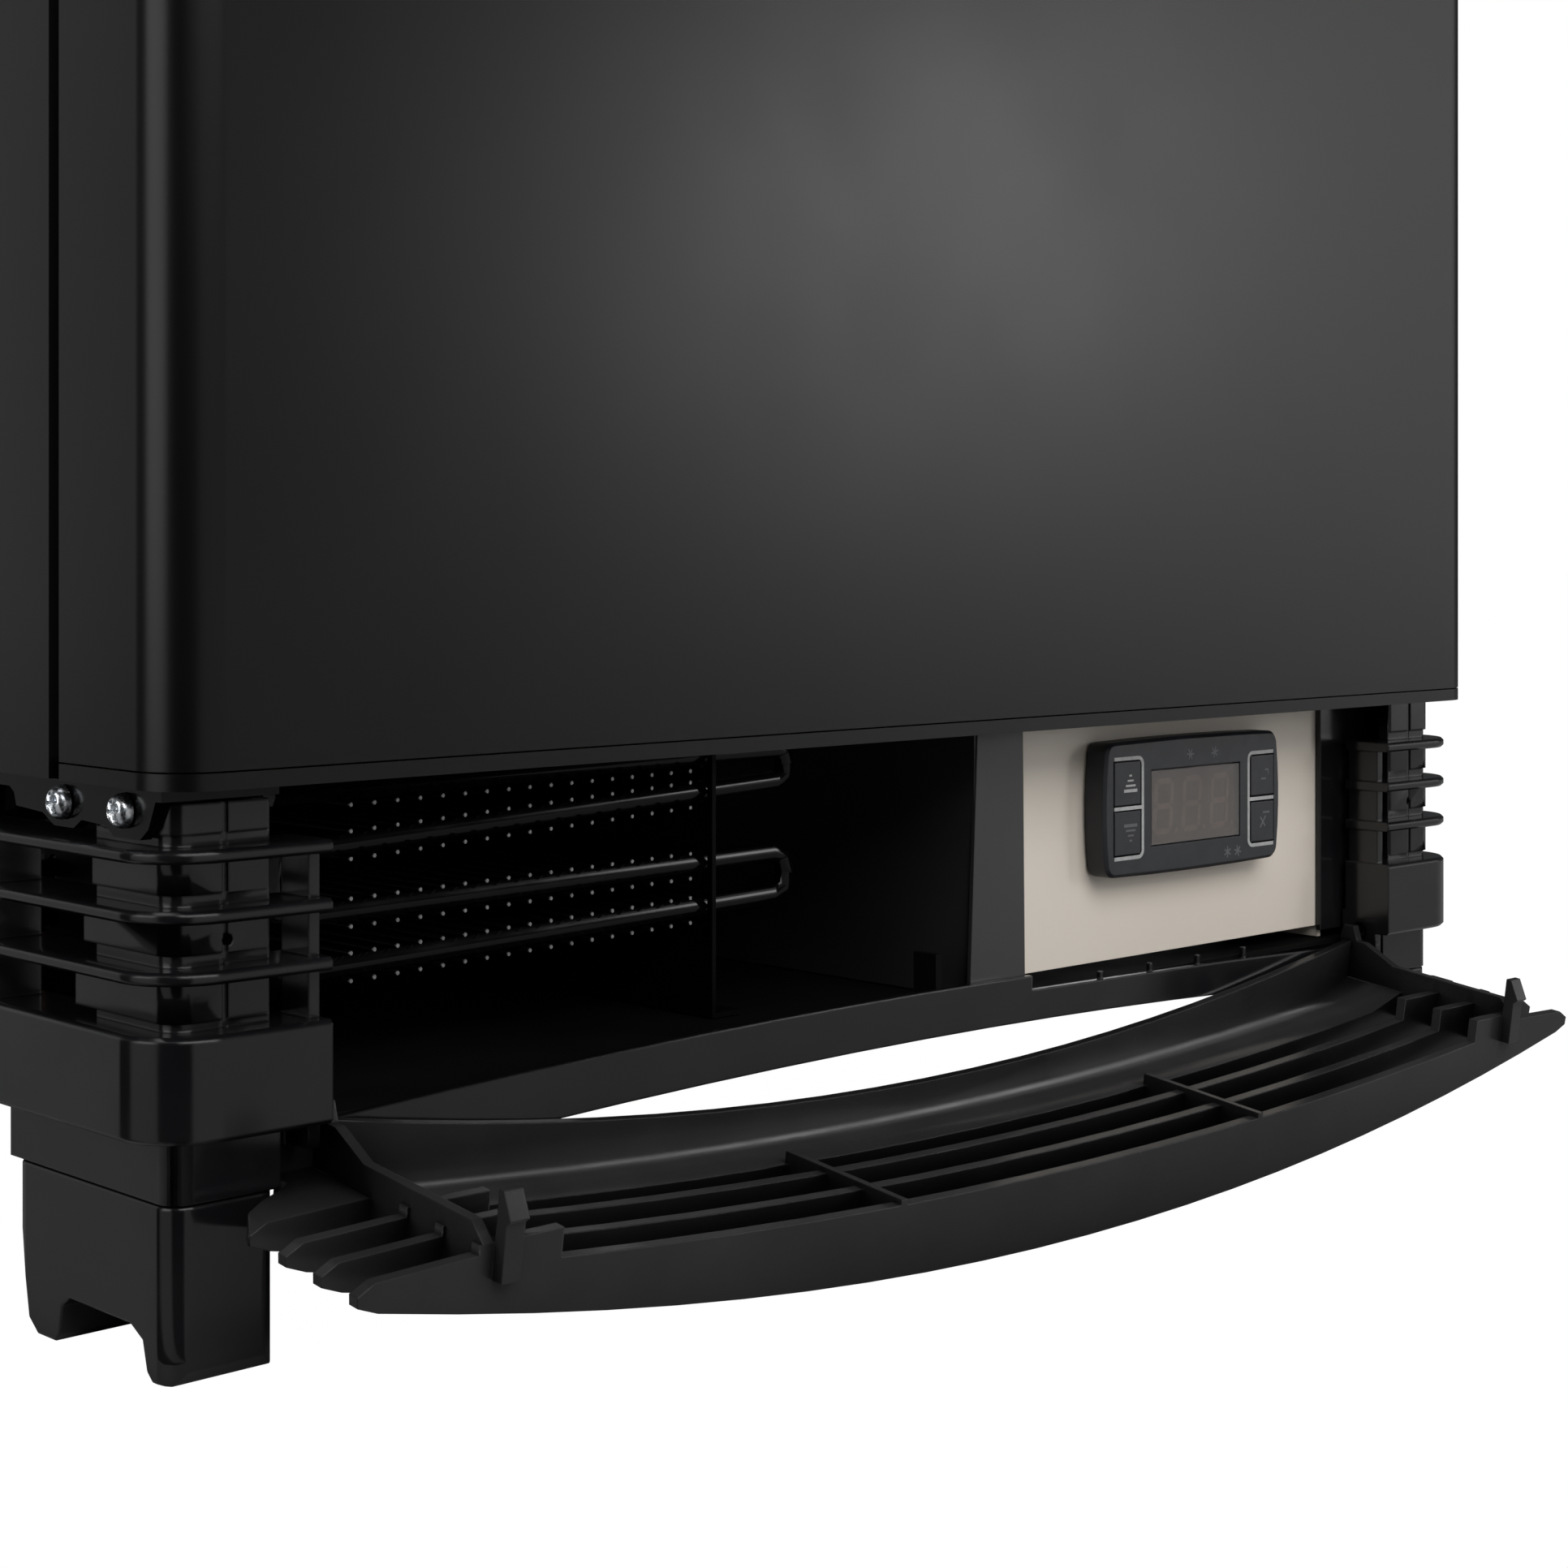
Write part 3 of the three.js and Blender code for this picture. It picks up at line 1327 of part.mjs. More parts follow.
piece("control_divider", controlDivider(), 0x2a2a2c, { rough: 0.5 });
piece("control_plate", controlPlate(), 0xcfc6b8, { rough: 0.45 });
piece("controller_body", controllerBody(), 0x2d2e31, { rough: 0.5 });
piece("controller_display", displayWindow(), 0x4a4744, { rough: 0.2 });
for (const [name, r] of Object.entries(KEYS)) {
  piece(name, keyCap(r), 0x35363a, { rough: 0.6 });
}

piece("condenser_coil", condenserCoil(), BLACK_PAINT, { rough: 0.35, metal: 0.5 });
piece("condenser_bracket_left", coilBracket(-150, 90), BLACK_PAINT);
piece("condenser_bracket_right", coilBracket(-43, 39.4), BLACK_PAINT);
piece("condenser_fan_shroud", fanShroud(), 0x8f9498, { metal: 0.6 });
piece("condenser_fan_motor", fanMotor(), 0x2b2b2d);
piece(
  "condenser_fan_rotor",
  fanRotor([FAN.x, FAN.y + 2, FAN.z], FAN.radius, 16, 5, 3.1),
  0x303236,
);
piece("compressor_shell", compressorShell(), 0x18181a, { rough: 0.4, metal: 0.3 });
piece("compressor_plate", compressorPlate(), 0x18181a, { rough: 0.5, metal: 0.3 });
grommetSpots().forEach((spot, i) => piece("compressor_grommet_" + (i + 1), grommet(spot), 0x202020));
piece("compressor_terminal_cover", terminalCover(), 0x1d1d1f);
piece("drip_tray", dripTray(), 0x3a3c3f);
piece("discharge_tube", dischargeTube(), COPPER, { metal: 0.9, rough: 0.35 });
piece("suction_tube", suctionTube(), COPPER, { metal: 0.9, rough: 0.35 });
piece("filter_drier", filterDrier(), COPPER, { metal: 0.9, rough: 0.35 });
piece("rear_cover", rearCover(), 0x1d1d1f, { rough: 0.5, metal: 0.3 });
REAR_SCREWS.forEach((spot, i) => piece("rear_screw_" + (i + 1), rearScrew(spot), ZINC, { metal: 1 }));
piece("cord_gland", cordGland(), 0x161616);

// Move the middle of the footprint to the origin.
const bounds = new THREE.Box3().setFromObject(group);
group.position.set(0, -(bounds.min.y + bounds.max.y) / 2, 0);
group.updateMatrixWorld(true);

export default group;
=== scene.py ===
"""Looks of a compact refrigerated cabinet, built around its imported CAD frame.

Metres, +Z up, the door faces -Y and the front grille hangs open at rest.
CAD nodes keep their place; finer copies stand for the ones with curved or worn surfaces.
"""

import json
import math

import bmesh
import bpy
from mathutils import Matrix, Vector


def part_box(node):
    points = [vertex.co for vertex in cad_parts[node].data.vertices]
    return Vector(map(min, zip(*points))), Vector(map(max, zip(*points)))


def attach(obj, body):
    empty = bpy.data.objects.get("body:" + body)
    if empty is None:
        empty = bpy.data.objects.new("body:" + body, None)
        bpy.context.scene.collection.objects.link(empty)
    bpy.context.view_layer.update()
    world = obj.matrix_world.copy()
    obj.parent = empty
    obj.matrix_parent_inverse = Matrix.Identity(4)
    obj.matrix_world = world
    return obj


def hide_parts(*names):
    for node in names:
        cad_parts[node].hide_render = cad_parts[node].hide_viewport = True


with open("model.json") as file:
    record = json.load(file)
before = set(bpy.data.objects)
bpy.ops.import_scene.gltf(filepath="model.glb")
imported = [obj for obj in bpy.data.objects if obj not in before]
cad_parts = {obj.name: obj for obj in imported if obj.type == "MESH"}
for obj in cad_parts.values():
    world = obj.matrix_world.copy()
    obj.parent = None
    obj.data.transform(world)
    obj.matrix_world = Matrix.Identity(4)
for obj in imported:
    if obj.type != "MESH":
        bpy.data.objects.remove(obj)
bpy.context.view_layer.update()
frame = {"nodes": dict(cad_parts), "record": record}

MM = 0.001
FRONT_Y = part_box("plinth_moulding")[0].y  # front plane of the plinth
BODY_OF = {
    node: body
    for body, members in frame["record"]["behaviour"]["bodies"].items()
    for node in members
}


def at(x, y, z):
    """A point given in millimetres from the middle of the plinth's front edge on the floor."""
    return Vector((x * MM, FRONT_Y + y * MM, z * MM))


# ------------------------------------------------------------------ materials
class Finish:
    """A Principled material whose colour, gloss and relief come from textures in object space."""

    def __init__(self, name, **values):
        self.material = bpy.data.materials.new(name)
        self.material.use_nodes = True
        self.nodes = self.material.node_tree.nodes
        self.links = self.material.node_tree.links
        self.shader = next(n for n in self.nodes if n.type == "BSDF_PRINCIPLED")
        self.place = self.nodes.new("ShaderNodeTexCoord").outputs["Object"]
        self.normal = None
        for socket, value in values.items():
            self.shader.inputs[socket.replace("_", " ")].default_value = value

    def stretched(self, stretch):
        mapping = self.nodes.new("ShaderNodeMapping")
        mapping.inputs["Scale"].default_value = stretch
        self.links.new(self.place, mapping.inputs["Vector"])
        return mapping.outputs["Vector"]

    def noise(self, scale, detail=3.0, stretch=(1, 1, 1)):
        texture = self.nodes.new("ShaderNodeTexNoise")
        texture.inputs["Scale"].default_value = scale
        texture.inputs["Detail"].default_value = detail
        self.links.new(self.stretched(stretch), texture.inputs["Vector"])
        return texture.outputs["Fac"]

    def cells(self, scale, feature="F1", output="Distance", stretch=(1, 1, 1)):
        texture = self.nodes.new("ShaderNodeTexVoronoi")
        texture.feature = feature
        texture.inputs["Scale"].default_value = scale
        self.links.new(self.stretched(stretch), texture.inputs["Vector"])
        return texture.outputs[output]

    def openness(self, reach):
        """Ambient occlusion for painting shade into colour: near 1 on open faces and near 0 deep
        between neighbours.
        """
        node = self.nodes.new("ShaderNodeAmbientOcclusion")
        node.samples = 8
        node.inputs["Distance"].default_value = reach
        return node.outputs["AO"]

    def spread(self, value, low, high, start=0.3, end=0.7):
        """Stretches value from start..end to low..high."""
        node = self.nodes.new("ShaderNodeMapRange")
        node.inputs["From Min"].default_value = start
        node.inputs["From Max"].default_value = end
        node.inputs["To Min"].default_value = low
        node.inputs["To Max"].default_value = high
        self.links.new(value, node.inputs["Value"])
        return node.outputs["Result"]

    def mix(self, share, first, second):
        node = self.nodes.new("ShaderNodeMix")
        node.data_type = "RGBA"
        sockets = [s for s in node.inputs if s.type == "RGBA"]
        for socket, colour in zip(sockets, (first, second)):
            if isinstance(colour, bpy.types.NodeSocket):
                self.links.new(colour, socket)
            else:
                socket.default_value = (*colour, 1)
        factor = next(s for s in node.inputs if s.type == "VALUE")
        self.links.new(share, factor)
        return next(s for s in node.outputs if s.type == "RGBA")

    def colour(self, share, first, second):
        self.links.new(self.mix(share, first, second), self.shader.inputs["Base Color"])
        return self

    def gloss(self, value, low, high, start=0.3, end=0.7):
        result = self.spread(value, low, high, start, end)
        self.links.new(result, self.shader.inputs["Roughness"])
        return self

    def edges(self, radius):
        """Rounds every sharp edge to radius when shading."""
        node = self.nodes.new("ShaderNodeBevel")
        node.samples = 5
        node.inputs["Radius"].default_value = radius
        self.normal = node.outputs["Normal"]
        self.links.new(self.normal, self.shader.inputs["Normal"])
        return self

    def relief(self, height, depth):
        node = self.nodes.new("ShaderNodeBump")
        node.inputs["Strength"].default_value = 1.0
        node.inputs["Distance"].default_value = depth
        self.links.new(height, node.inputs["Height"])
        if self.normal is not None:
            self.links.new(self.normal, node.inputs["Normal"])
        self.normal = node.outputs["Normal"]
        self.links.new(self.normal, self.shader.inputs["Normal"])
        return self


def gloss_black_moulding():
    f = Finish("gloss_black_moulding", IOR=1.5, Specular_IOR_Level=0.5)
    f.colour(f.spread(f.noise(38, 4), 0, 1), (0.0045, 0.0046, 0.0052), (0.0085, 0.0085, 0.0095))
    f.gloss(f.noise(95, 5), 0.12, 0.2)
    f.edges(0.7 * MM)
    return f.relief(f.noise(13, 2), 0.09 * MM).relief(f.noise(1100, 2), 0.004 * MM).material


def satin_black_moulding():
    f = Finish("satin_black_moulding", IOR=1.48)
    f.colour(f.spread(f.noise(60, 4), 0, 1), (0.007, 0.007, 0.0075), (0.013, 0.013, 0.014))
    f.gloss(f.noise(160, 4), 0.26, 0.42)
    f.edges(0.45 * MM)
    return f.relief(f.noise(16, 2), 0.08 * MM).relief(f.cells(1500), 0.012 * MM).material


def grille_plastic():
    f = Finish("grille_plastic", IOR=1.5, Specular_IOR_Level=0.24)
    worn = f.mix(f.spread(f.noise(42, 4), 0, 1), (0.019, 0.019, 0.02), (0.026, 0.026, 0.0272))
    # Painted shade: the colour goes near-black deep between the blades and ribs, where shade
    # falls; open faces keep their random tone.
    f.colour(f.spread(f.openness(30 * MM), 0, 1, 0.35, 0.85), (0.0015, 0.0015, 0.0017), worn)
    f.gloss(f.noise(60, 3), 0.2, 0.28)
    f.edges(0.45 * MM)
    return f.relief(f.noise(15, 2), 0.05 * MM).relief(f.noise(900, 2), 0.003 * MM).material


def satin_black_paint():
    f = Finish("satin_black_paint", IOR=1.5)
    f.colour(f.spread(f.noise(9, 5), 0, 1), (0.0036, 0.0036, 0.0038), (0.006, 0.0059, 0.0061))
    f.gloss(f.noise(24, 4), 0.3, 0.36)
    f.edges(0.4 * MM)
    return f.relief(f.noise(420, 2), 0.006 * MM).material


def door_paint():
    f = Finish("door_paint", IOR=1.5, Specular_IOR_Level=0.27)
    f.colour(f.spread(f.noise(7, 5), 0, 1), (0.0011, 0.001, 0.0011), (0.0016, 0.0015, 0.0016))
    f.gloss(f.noise(18, 4), 0.29, 0.32)
    return f.relief(f.noise(520, 2), 0.004 * MM).material


def coil_paint():
    f = Finish("coil_paint", IOR=1.5, Specular_IOR_Level=0.2)
    f.colour(f.spread(f.noise(30, 4), 0, 1), (0.0012, 0.0012, 0.0013), (0.0026, 0.0026, 0.0028))
    return f.gloss(f.noise(90, 4), 0.1, 0.17).relief(f.noise(500, 2), 0.004 * MM).material


# Painted shade: a darker black than the coil paint, with little gloss, for the condenser wires and
# brackets that sit deep in the bay's shade.
def painted_shade_black():
    f = Finish("painted_shade_black", IOR=1.5, Specular_IOR_Level=0.06)
    f.colour(f.spread(f.noise(30, 4), 0, 1), (0.0008, 0.0008, 0.0008), (0.0018, 0.0018, 0.0018))
    return f.gloss(f.noise(90, 4), 0.3, 0.45).relief(f.noise(500, 2), 0.004 * MM).material


def divider_paint():
    f = Finish("divider_paint", IOR=1.5, Specular_IOR_Level=0.45)
    f.colour(f.spread(f.noise(14, 5), 0, 1), (0.021, 0.021, 0.022), (0.029, 0.029, 0.03))
    f.gloss(f.noise(40, 4), 0.3, 0.4)
    return f.edges(0.3 * MM).relief(f.noise(500, 2), 0.005 * MM).material


def tray_paint():
    f = Finish("tray_paint", IOR=1.5, Specular_IOR_Level=0.05)
    f.colour(f.spread(f.noise(20, 4), 0, 1), (0.0022, 0.0022, 0.0022), (0.0042, 0.0041, 0.004))
    return f.gloss(f.noise(50, 4), 0.6, 0.75).relief(f.noise(500, 2), 0.004 * MM).material


def zinc_plate():
    f = Finish("zinc_plate", Metallic=1.0)
    f.colour(f.spread(f.noise(700, 3), 0, 1), (0.52, 0.56, 0.62), (0.83, 0.84, 0.84))
    f.gloss(f.noise(1600, 3), 0.16, 0.34)
    return f.relief(f.noise(2600, 2), 0.01 * MM).material


def galvanised_sheet():
    f = Finish("galvanised_sheet", Metallic=0.9)
    f.colour(f.cells(95, output="Color"), (0.36, 0.375, 0.39), (0.52, 0.535, 0.55))
    f.gloss(f.cells(95), 0.34, 0.55, 0.0, 0.8)
    return f.edges(0.3 * MM).relief(f.noise(300, 3), 0.006 * MM).material


def white_liner():
    f = Finish("white_liner", IOR=1.5)
    f.colour(f.spread(f.noise(6, 5), 0, 1), (0.77, 0.775, 0.765), (0.83, 0.83, 0.815))
    f.gloss(f.noise(70, 4), 0.28, 0.42)
    return f.edges(1.2 * MM).relief(f.noise(850, 2), 0.008 * MM).material


def foam():
    f = Finish("foam")
    f.colour(f.spread(f.noise(90, 5), 0, 1), (0.62, 0.5, 0.26), (0.79, 0.69, 0.44))
    f.gloss(f.noise(300, 3), 0.8, 0.95)
    return f.relief(f.cells(700), 0.25 * MM).material


def shelf_wire():
    f = Finish("shelf_wire", IOR=1.5)
    f.colour(f.spread(f.noise(120, 3), 0, 1), (0.7, 0.7, 0.69), (0.8, 0.8, 0.78))
    f.gloss(f.noise(400, 3), 0.24, 0.38)
    return f.relief(f.noise(900, 2), 0.01 * MM).material


def bare_aluminium():
    f = Finish("bare_aluminium", Metallic=1.0)
    f.colour(f.spread(f.noise(60, 4, (1, 1, 12)), 0, 1), (0.6, 0.61, 0.63), (0.78, 0.79, 0.8))
    f.gloss(f.noise(200, 4, (1, 1, 20)), 0.25, 0.42)
    return f.relief(f.noise(500, 2, (1, 1, 20)), 0.008 * MM).material


def fan_plastic():
    f = Finish("fan_plastic", IOR=1.48)
    f.colour(f.spread(f.noise(80, 4), 0, 1), (0.016, 0.0165, 0.018), (0.028, 0.0285, 0.03))
    f.gloss(f.noise(240, 3), 0.38, 0.55)
    return f.edges(0.5 * MM).relief(f.cells(1500), 0.01 * MM).material


def lamp_diffuser():
    f = Finish("lamp_diffuser", IOR=1.49, Subsurface_Weight=0.4, Subsurface_Scale=0.004)
    f.colour(f.spread(f.noise(40, 3), 0, 1), (0.84, 0.85, 0.83), (0.9, 0.9, 0.88))
    f.gloss(f.noise(300, 3), 0.22, 0.36)
    return f.relief(f.noise(260, 2, (1, 6, 6)), 0.05 * MM).material


def black_rubber():
    f = Finish("black_rubber", IOR=1.45, Sheen_Weight=0.12)
    f.colour(f.spread(f.noise(140, 4), 0, 1), (0.012, 0.012, 0.012), (0.024, 0.024, 0.023))
    f.gloss(f.noise(300, 4), 0.6, 0.8)
    return f.edges(0.6 * MM).relief(f.noise(1200, 3), 0.02 * MM).material


def cream_panel():
    f = Finish("cream_panel", IOR=1.5)
    f.colour(f.spread(f.noise(14, 5), 0, 1), (0.66, 0.59, 0.51), (0.71, 0.645, 0.565))
    f.gloss(f.noise(60, 4), 0.4, 0.52)
    return f.edges(0.3 * MM).relief(f.noise(700, 2), 0.006 * MM).material


def controller_grey():
    f = Finish("controller_grey", IOR=1.47)
    f.colour(f.spread(f.noise(150, 4), 0, 1), (0.009, 0.0102, 0.0135), (0.013, 0.0145, 0.0185))
    f.gloss(f.noise(260, 3), 0.42, 0.52)
    return f.edges(0.35 * MM).relief(f.noise(2400, 2), 0.012 * MM).material


def smoked_window():
    f = Finish("smoked_window", IOR=1.5, Transmission_Weight=0.9)
    f.colour(f.spread(f.noise(90, 3), 0, 1), (0.55, 0.515, 0.49), (0.61, 0.575, 0.545))
    return f.gloss(f.noise(200, 3), 0.07, 0.14).material


def display_face():
    f = Finish("display_face")
    f.colour(f.spread(f.noise(300, 3), 0, 1), (0.115, 0.096, 0.088), (0.14, 0.118, 0.108))
    return f.gloss(f.noise(200, 3), 0.4, 0.55).material


def unlit_segment():
    f = Finish("unlit_segment")
    f.colour(f.spread(f.noise(500, 3), 0, 1), (0.3, 0.21, 0.17), (0.36, 0.255, 0.21))
    return f.gloss(f.noise(200, 3), 0.35, 0.5).material


def printed_line():
    f = Finish("printed_line")
    f.colour(f.spread(f.noise(900, 3), 0, 1), (0.3, 0.305, 0.3), (0.4, 0.405, 0.4))
    return f.gloss(f.noise(900, 3), 0.45, 0.6).material


def faint_print():
    f = Finish("faint_print")
    f.colour(f.spread(f.noise(900, 3), 0, 1), (0.075, 0.078, 0.086), (0.095, 0.098, 0.106))
    return f.gloss(f.noise(900, 3), 0.45, 0.6).material


def copper_tube():
    f = Finish("copper_tube", Metallic=1.0)
    f.colour(f.spread(f.noise(34, 5), 0, 1), (0.44, 0.2, 0.12), (0.78, 0.43, 0.28))
    f.gloss(f.noise(120, 4), 0.22, 0.46)
    return f.relief(f.noise(700, 2), 0.01 * MM).material


def cut_steel():
    f = Finish("cut_steel", Metallic=1.0)
    f.colour(f.spread(f.noise(900, 2), 0, 1), (0.2, 0.2, 0.2), (0.3, 0.3, 0.295))
    return f.gloss(f.noise(900, 2), 0.35, 0.5).material


SLOT_FINISH = {
    make.__name__: make()
    for make in (
        gloss_black_moulding,
        satin_black_moulding,
        satin_black_paint,
        zinc_plate,
        galvanised_sheet,
        white_liner,
        foam,
        shelf_wire,
        bare_aluminium,
        fan_plastic,
        lamp_diffuser,
        black_rubber,
        cream_panel,
        controller_grey,
        smoked_window,
        copper_tube,
    )
}
SLOT_OF = {
    entry["node"]: entry["material_slot"]
    for entry in frame["record"]["subparts"]
    if "node" in entry
}
GRILLE_PLASTIC = grille_plastic()
DOOR_PAINT = door_paint()
DISPLAY_FACE = display_face()
UNLIT_SEGMENT = unlit_segment()
PRINTED_LINE = printed_line()
FAINT_PRINT = faint_print()
CUT_STEEL = cut_steel()
COIL_PAINT = coil_paint()
PAINTED_SHADE_BLACK = painted_shade_black()
TRAY_PAINT = tray_paint()
DIVIDER_PAINT = divider_paint()
OWN_FINISH = {
    "front_grille": GRILLE_PLASTIC,
    "door_skin": DOOR_PAINT,
    "outer_wrap": DOOR_PAINT,
    "door_cap_bottom": DOOR_PAINT,
    "door_cap_top": DOOR_PAINT,
    "condenser_coil": COIL_PAINT,
    "hinge_bracket_lower": COIL_PAINT,
    "condenser_bracket_left": PAINTED_SHADE_BLACK,
    "condenser_bracket_right": PAINTED_SHADE_BLACK,
    "base_tray": TRAY_PAINT,
    "control_divider": DIVIDER_PAINT,
}


def finish_for(node):
    return OWN_FINISH.get(node, SLOT_FINISH[SLOT_OF[node]])


# ---------------------------------------------------------------- mesh helpers
def place(name, mesh, materials, body):
    """Puts a mesh in the scene as a piece of the object."""
    piece = bpy.data.objects.new(name, mesh)
    bpy.context.scene.collection.objects.link(piece)
    for material in materials:
        mesh.materials.append(material)
    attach(piece, body)
    return piece


def mesh_from(bm, name, fold=35):
    """A mesh shaded smooth, with edges kept sharp where faces fold by more than `fold` degrees."""
    bmesh.ops.recalc_face_normals(bm, faces=bm.faces)
    for face in bm.faces:
        face.smooth = True
    mesh = bpy.data.meshes.new(name)
    bm.to_mesh(mesh)
    bm.free()
    mesh.set_sharp_from_angle(angle=math.radians(fold))
    return mesh


def level_normals(piece):
    """Keeps flat faces flat where they meet a rounded one."""
    modifier = piece.modifiers.new("weighted_normals", "WEIGHTED_NORMAL")
    modifier.keep_sharp = True


def round_edges(piece, width, steps=2, fold=35):
    modifier = piece.modifiers.new("round_edges", "BEVEL")
    modifier.width = width
    modifier.segments = steps
    modifier.limit_method = "ANGLE"
    modifier.angle_limit = math.radians(fold)
    modifier.harden_normals = False


def finer(node, fold=35, width=0.0, steps=2):
    """A copy of a CAD node with welded corners, smooth curves and, if asked, rounded edges."""
    bm = bmesh.new()
    bm.from_mesh(frame["nodes"][node].data)
    bmesh.ops.remove_doubles(bm, verts=bm.verts, dist=0.005 * MM)
    flat = math.radians(0.4)
    bmesh.ops.dissolve_limit(bm, angle_limit=flat, verts=bm.verts, edges=bm.edges)
    mesh = mesh_from(bm, node + "_finer", fold)
    piece = place(node + "_finer", mesh, [finish_for(node)], BODY_OF[node])
    if width:
        round_edges(piece, width, steps, fold)
    level_normals(piece)
    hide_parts(node)
    return piece


def rod(bm, start, end, radius, sides=10, domed=0.0):
    """Adds a round bar to bm and gives back its end faces; domed is how far the ends bulge."""
    axis = (end - start).normalized()
    across = axis.orthogonal().normalized()
    other = axis.cross(across)
    rings = [(start - axis * domed, 0.7), (start, 1.0), (end, 1.0), (end + axis * domed, 0.7)]
    if not domed:
        rings = rings[1:3]
    loops = []
    for centre, share in rings:
        ring = []
        for i in range(sides):
            angle = 2 * math.pi * i / sides
            offset = across * math.cos(angle) + other * math.sin(angle)
            ring.append(bm.verts.new(centre + offset * radius * share))
        loops.append(ring)
    ends = [bm.faces.new(loops[0][::-1]), bm.faces.new(loops[-1])]
    for index, (a, b) in enumerate(zip(loops, loops[1:])):
        for i in range(sides):
            j = (i + 1) % sides
            side = bm.faces.new((a[i], a[j], b[j], b[i]))
            if domed and index != 1:
                ends.append(side)
    return ends


def ribbon(bm, path, width, front, thick):
    """Adds a thin raised stripe that follows path, given as (x, z) points in metres."""
    points = [Vector(p) for p in path]
    left, right = [], []
    for i, p in enumerate(points):
        before = points[max(i - 1, 0)]
        after = points[min(i + 1, len(points) - 1)]
        along = (after - before).normalized()
        side = Vector((-along.y, along.x)) * width / 2
        left.append(p + side)
        right.append(p - side)
    outline = left + right[::-1]
    raise_outline(bm, outline, front, thick)


def raise_outline(bm, outline, front, thick):
    """Adds a flat closed plate in the XZ plane, its face at y = front."""
    face = [bm.verts.new((p.x, front, p.y)) for p in outline]
    back = [bm.verts.new((p.x, front + thick, p.y)) for p in outline]
    bm.faces.new(face)
    bm.faces.new(back[::-1])
    for i in range(len(face)):
        j = (i + 1) % len(face)
        bm.faces.new((face[i], back[i], back[j], face[j]))


def arc(centre, radius, start, end, steps=6):
    """Points (x, z) on an arc, angles in degrees."""
    out = []
    for i in range(steps + 1):
        angle = math.radians(start + (end - start) * i / steps)
        out.append((centre[0] + radius * math.cos(angle), centre[1] + radius * math.sin(angle)))
    return out


# --------------------------------------------------------------- CAD node looks
for name, node in frame["nodes"].items():
    node.data.materials.clear()
    node.data.materials.append(finish_for(name))

ROUNDED = {
    # node: (fold angle, edge radius in mm)
    "foot_front_left": (35, 0.8),
    "foot_front_right": (35, 0.8),
    "foot_rear_left": (35, 0.8),
    "foot_rear_right": (35, 0.8),
    "door_handle": (35, 1.2),
    "compressor_terminal_cover": (35, 2.0),
    "hinge_bracket_upper": (35, 0.3),
    "controller_body": (35, 0.2),
    "button_up": (35, 0.15),
    "button_down": (35, 0.15),
    "button_set": (35, 0.15),
    "button_aux": (35, 0.15),
    "interior_lamp": (35, 1.4),
}
for name, (fold, edge) in ROUNDED.items():
    finer(name, fold, edge * MM)

SMOOTHED = (
    "plinth_moulding",
    "front_grille",
    "door_skin",
    "door_cap_bottom",
    "door_cap_top",
    "top_cover",
    "hinge_bracket_lower",
    "condenser_coil",
    "condenser_fan_motor",
    "condenser_fan_rotor",
    "condenser_fan_shroud",
    "evaporator_cover",
    "evaporator_coil",
    "evaporator_fan_motor",
    "evaporator_fan_rotor",
    "compressor_plate",
    "compressor_grommet_1",
    "compressor_grommet_2",
    "compressor_grommet_3",
    "compressor_grommet_4",
    "drip_tray",
    "discharge_tube",
    "suction_tube",
    "filter_drier",
    "rear_cover",
    "cord_gland",
)
for name in SMOOTHED:
    finer(name, 40)


# ---------------------------------------------------------------------- screws
HEAD_RINGS = 22
HEAD_SIDES = 64


def head_height(u, v, radius, height):
    """Height of a pan head above its seat at (u, v), with its cross recess."""
    share = min(math.hypot(u, v) / radius, 1.0)
    dome = height * (1 - share**3.4) ** 0.5
    arm = min(abs(u), abs(v))
    reach = max(abs(u), abs(v))
    half_slot = 0.14 * radius
    inside = max(0.0, min(1.0, (half_slot * 1.5 - arm) / (half_slot * 0.6)))
    inside *= max(0.0, min(1.0, (0.62 * radius - reach) / (0.12 * radius)))
    return dome - inside * height * 0.5


def pan_head(name, node, seat, facing, radius, height):
    """A cross-recess screw head with its shank, in place of a CAD screw."""
    bm = bmesh.new()
    rings = []
    for ring in range(1, HEAD_RINGS + 1):
        r = radius * (ring / HEAD_RINGS) ** 0.8
        loop = []
        for i in range(HEAD_SIDES):
            angle = 2 * math.pi * i / HEAD_SIDES
            u, v = r * math.cos(angle), r * math.sin(angle)
            loop.append(bm.verts.new((u, v, head_height(u, v, radius, height))))
        rings.append(loop)
    bottom = [bm.verts.new((v.co.x, v.co.y, 0)) for v in rings[-1]]
    rings.append(bottom)
    centre = bm.verts.new((0, 0, head_height(0, 0, radius, height)))
    for i in range(HEAD_SIDES):
        j = (i + 1) % HEAD_SIDES
        bm.faces.new((centre, rings[0][i], rings[0][j]))
        for a, b in zip(rings, rings[1:]):
            bm.faces.new((a[i], b[i], b[j], a[j]))
    bm.faces.new(bottom[::-1])
    low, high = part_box(node)
    length = max(high - low) - height
    rod(bm, Vector((0, 0, -length)), Vector((0, 0, 0.0)), radius * 0.42, 12)
    turn = Vector(facing).to_track_quat("Z", "Y").to_matrix().to_4x4()
    spin = Matrix.Rotation(math.radians(24), 4, "Z")
    bmesh.ops.transform(bm, matrix=Matrix.Translation(seat) @ turn @ spin, verts=bm.verts)
    mesh = mesh_from(bm, name, 50)
    piece = place(name, mesh, [SLOT_FINISH["zinc_plate"]], BODY_OF[node])
    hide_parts(node)
    return piece


HEAD_RADIUS = 3.4 * MM
HINGE_HEAD = 2.8 * MM  # how far the head of a hinge screw stands out
REAR_HEAD = 2.0 * MM

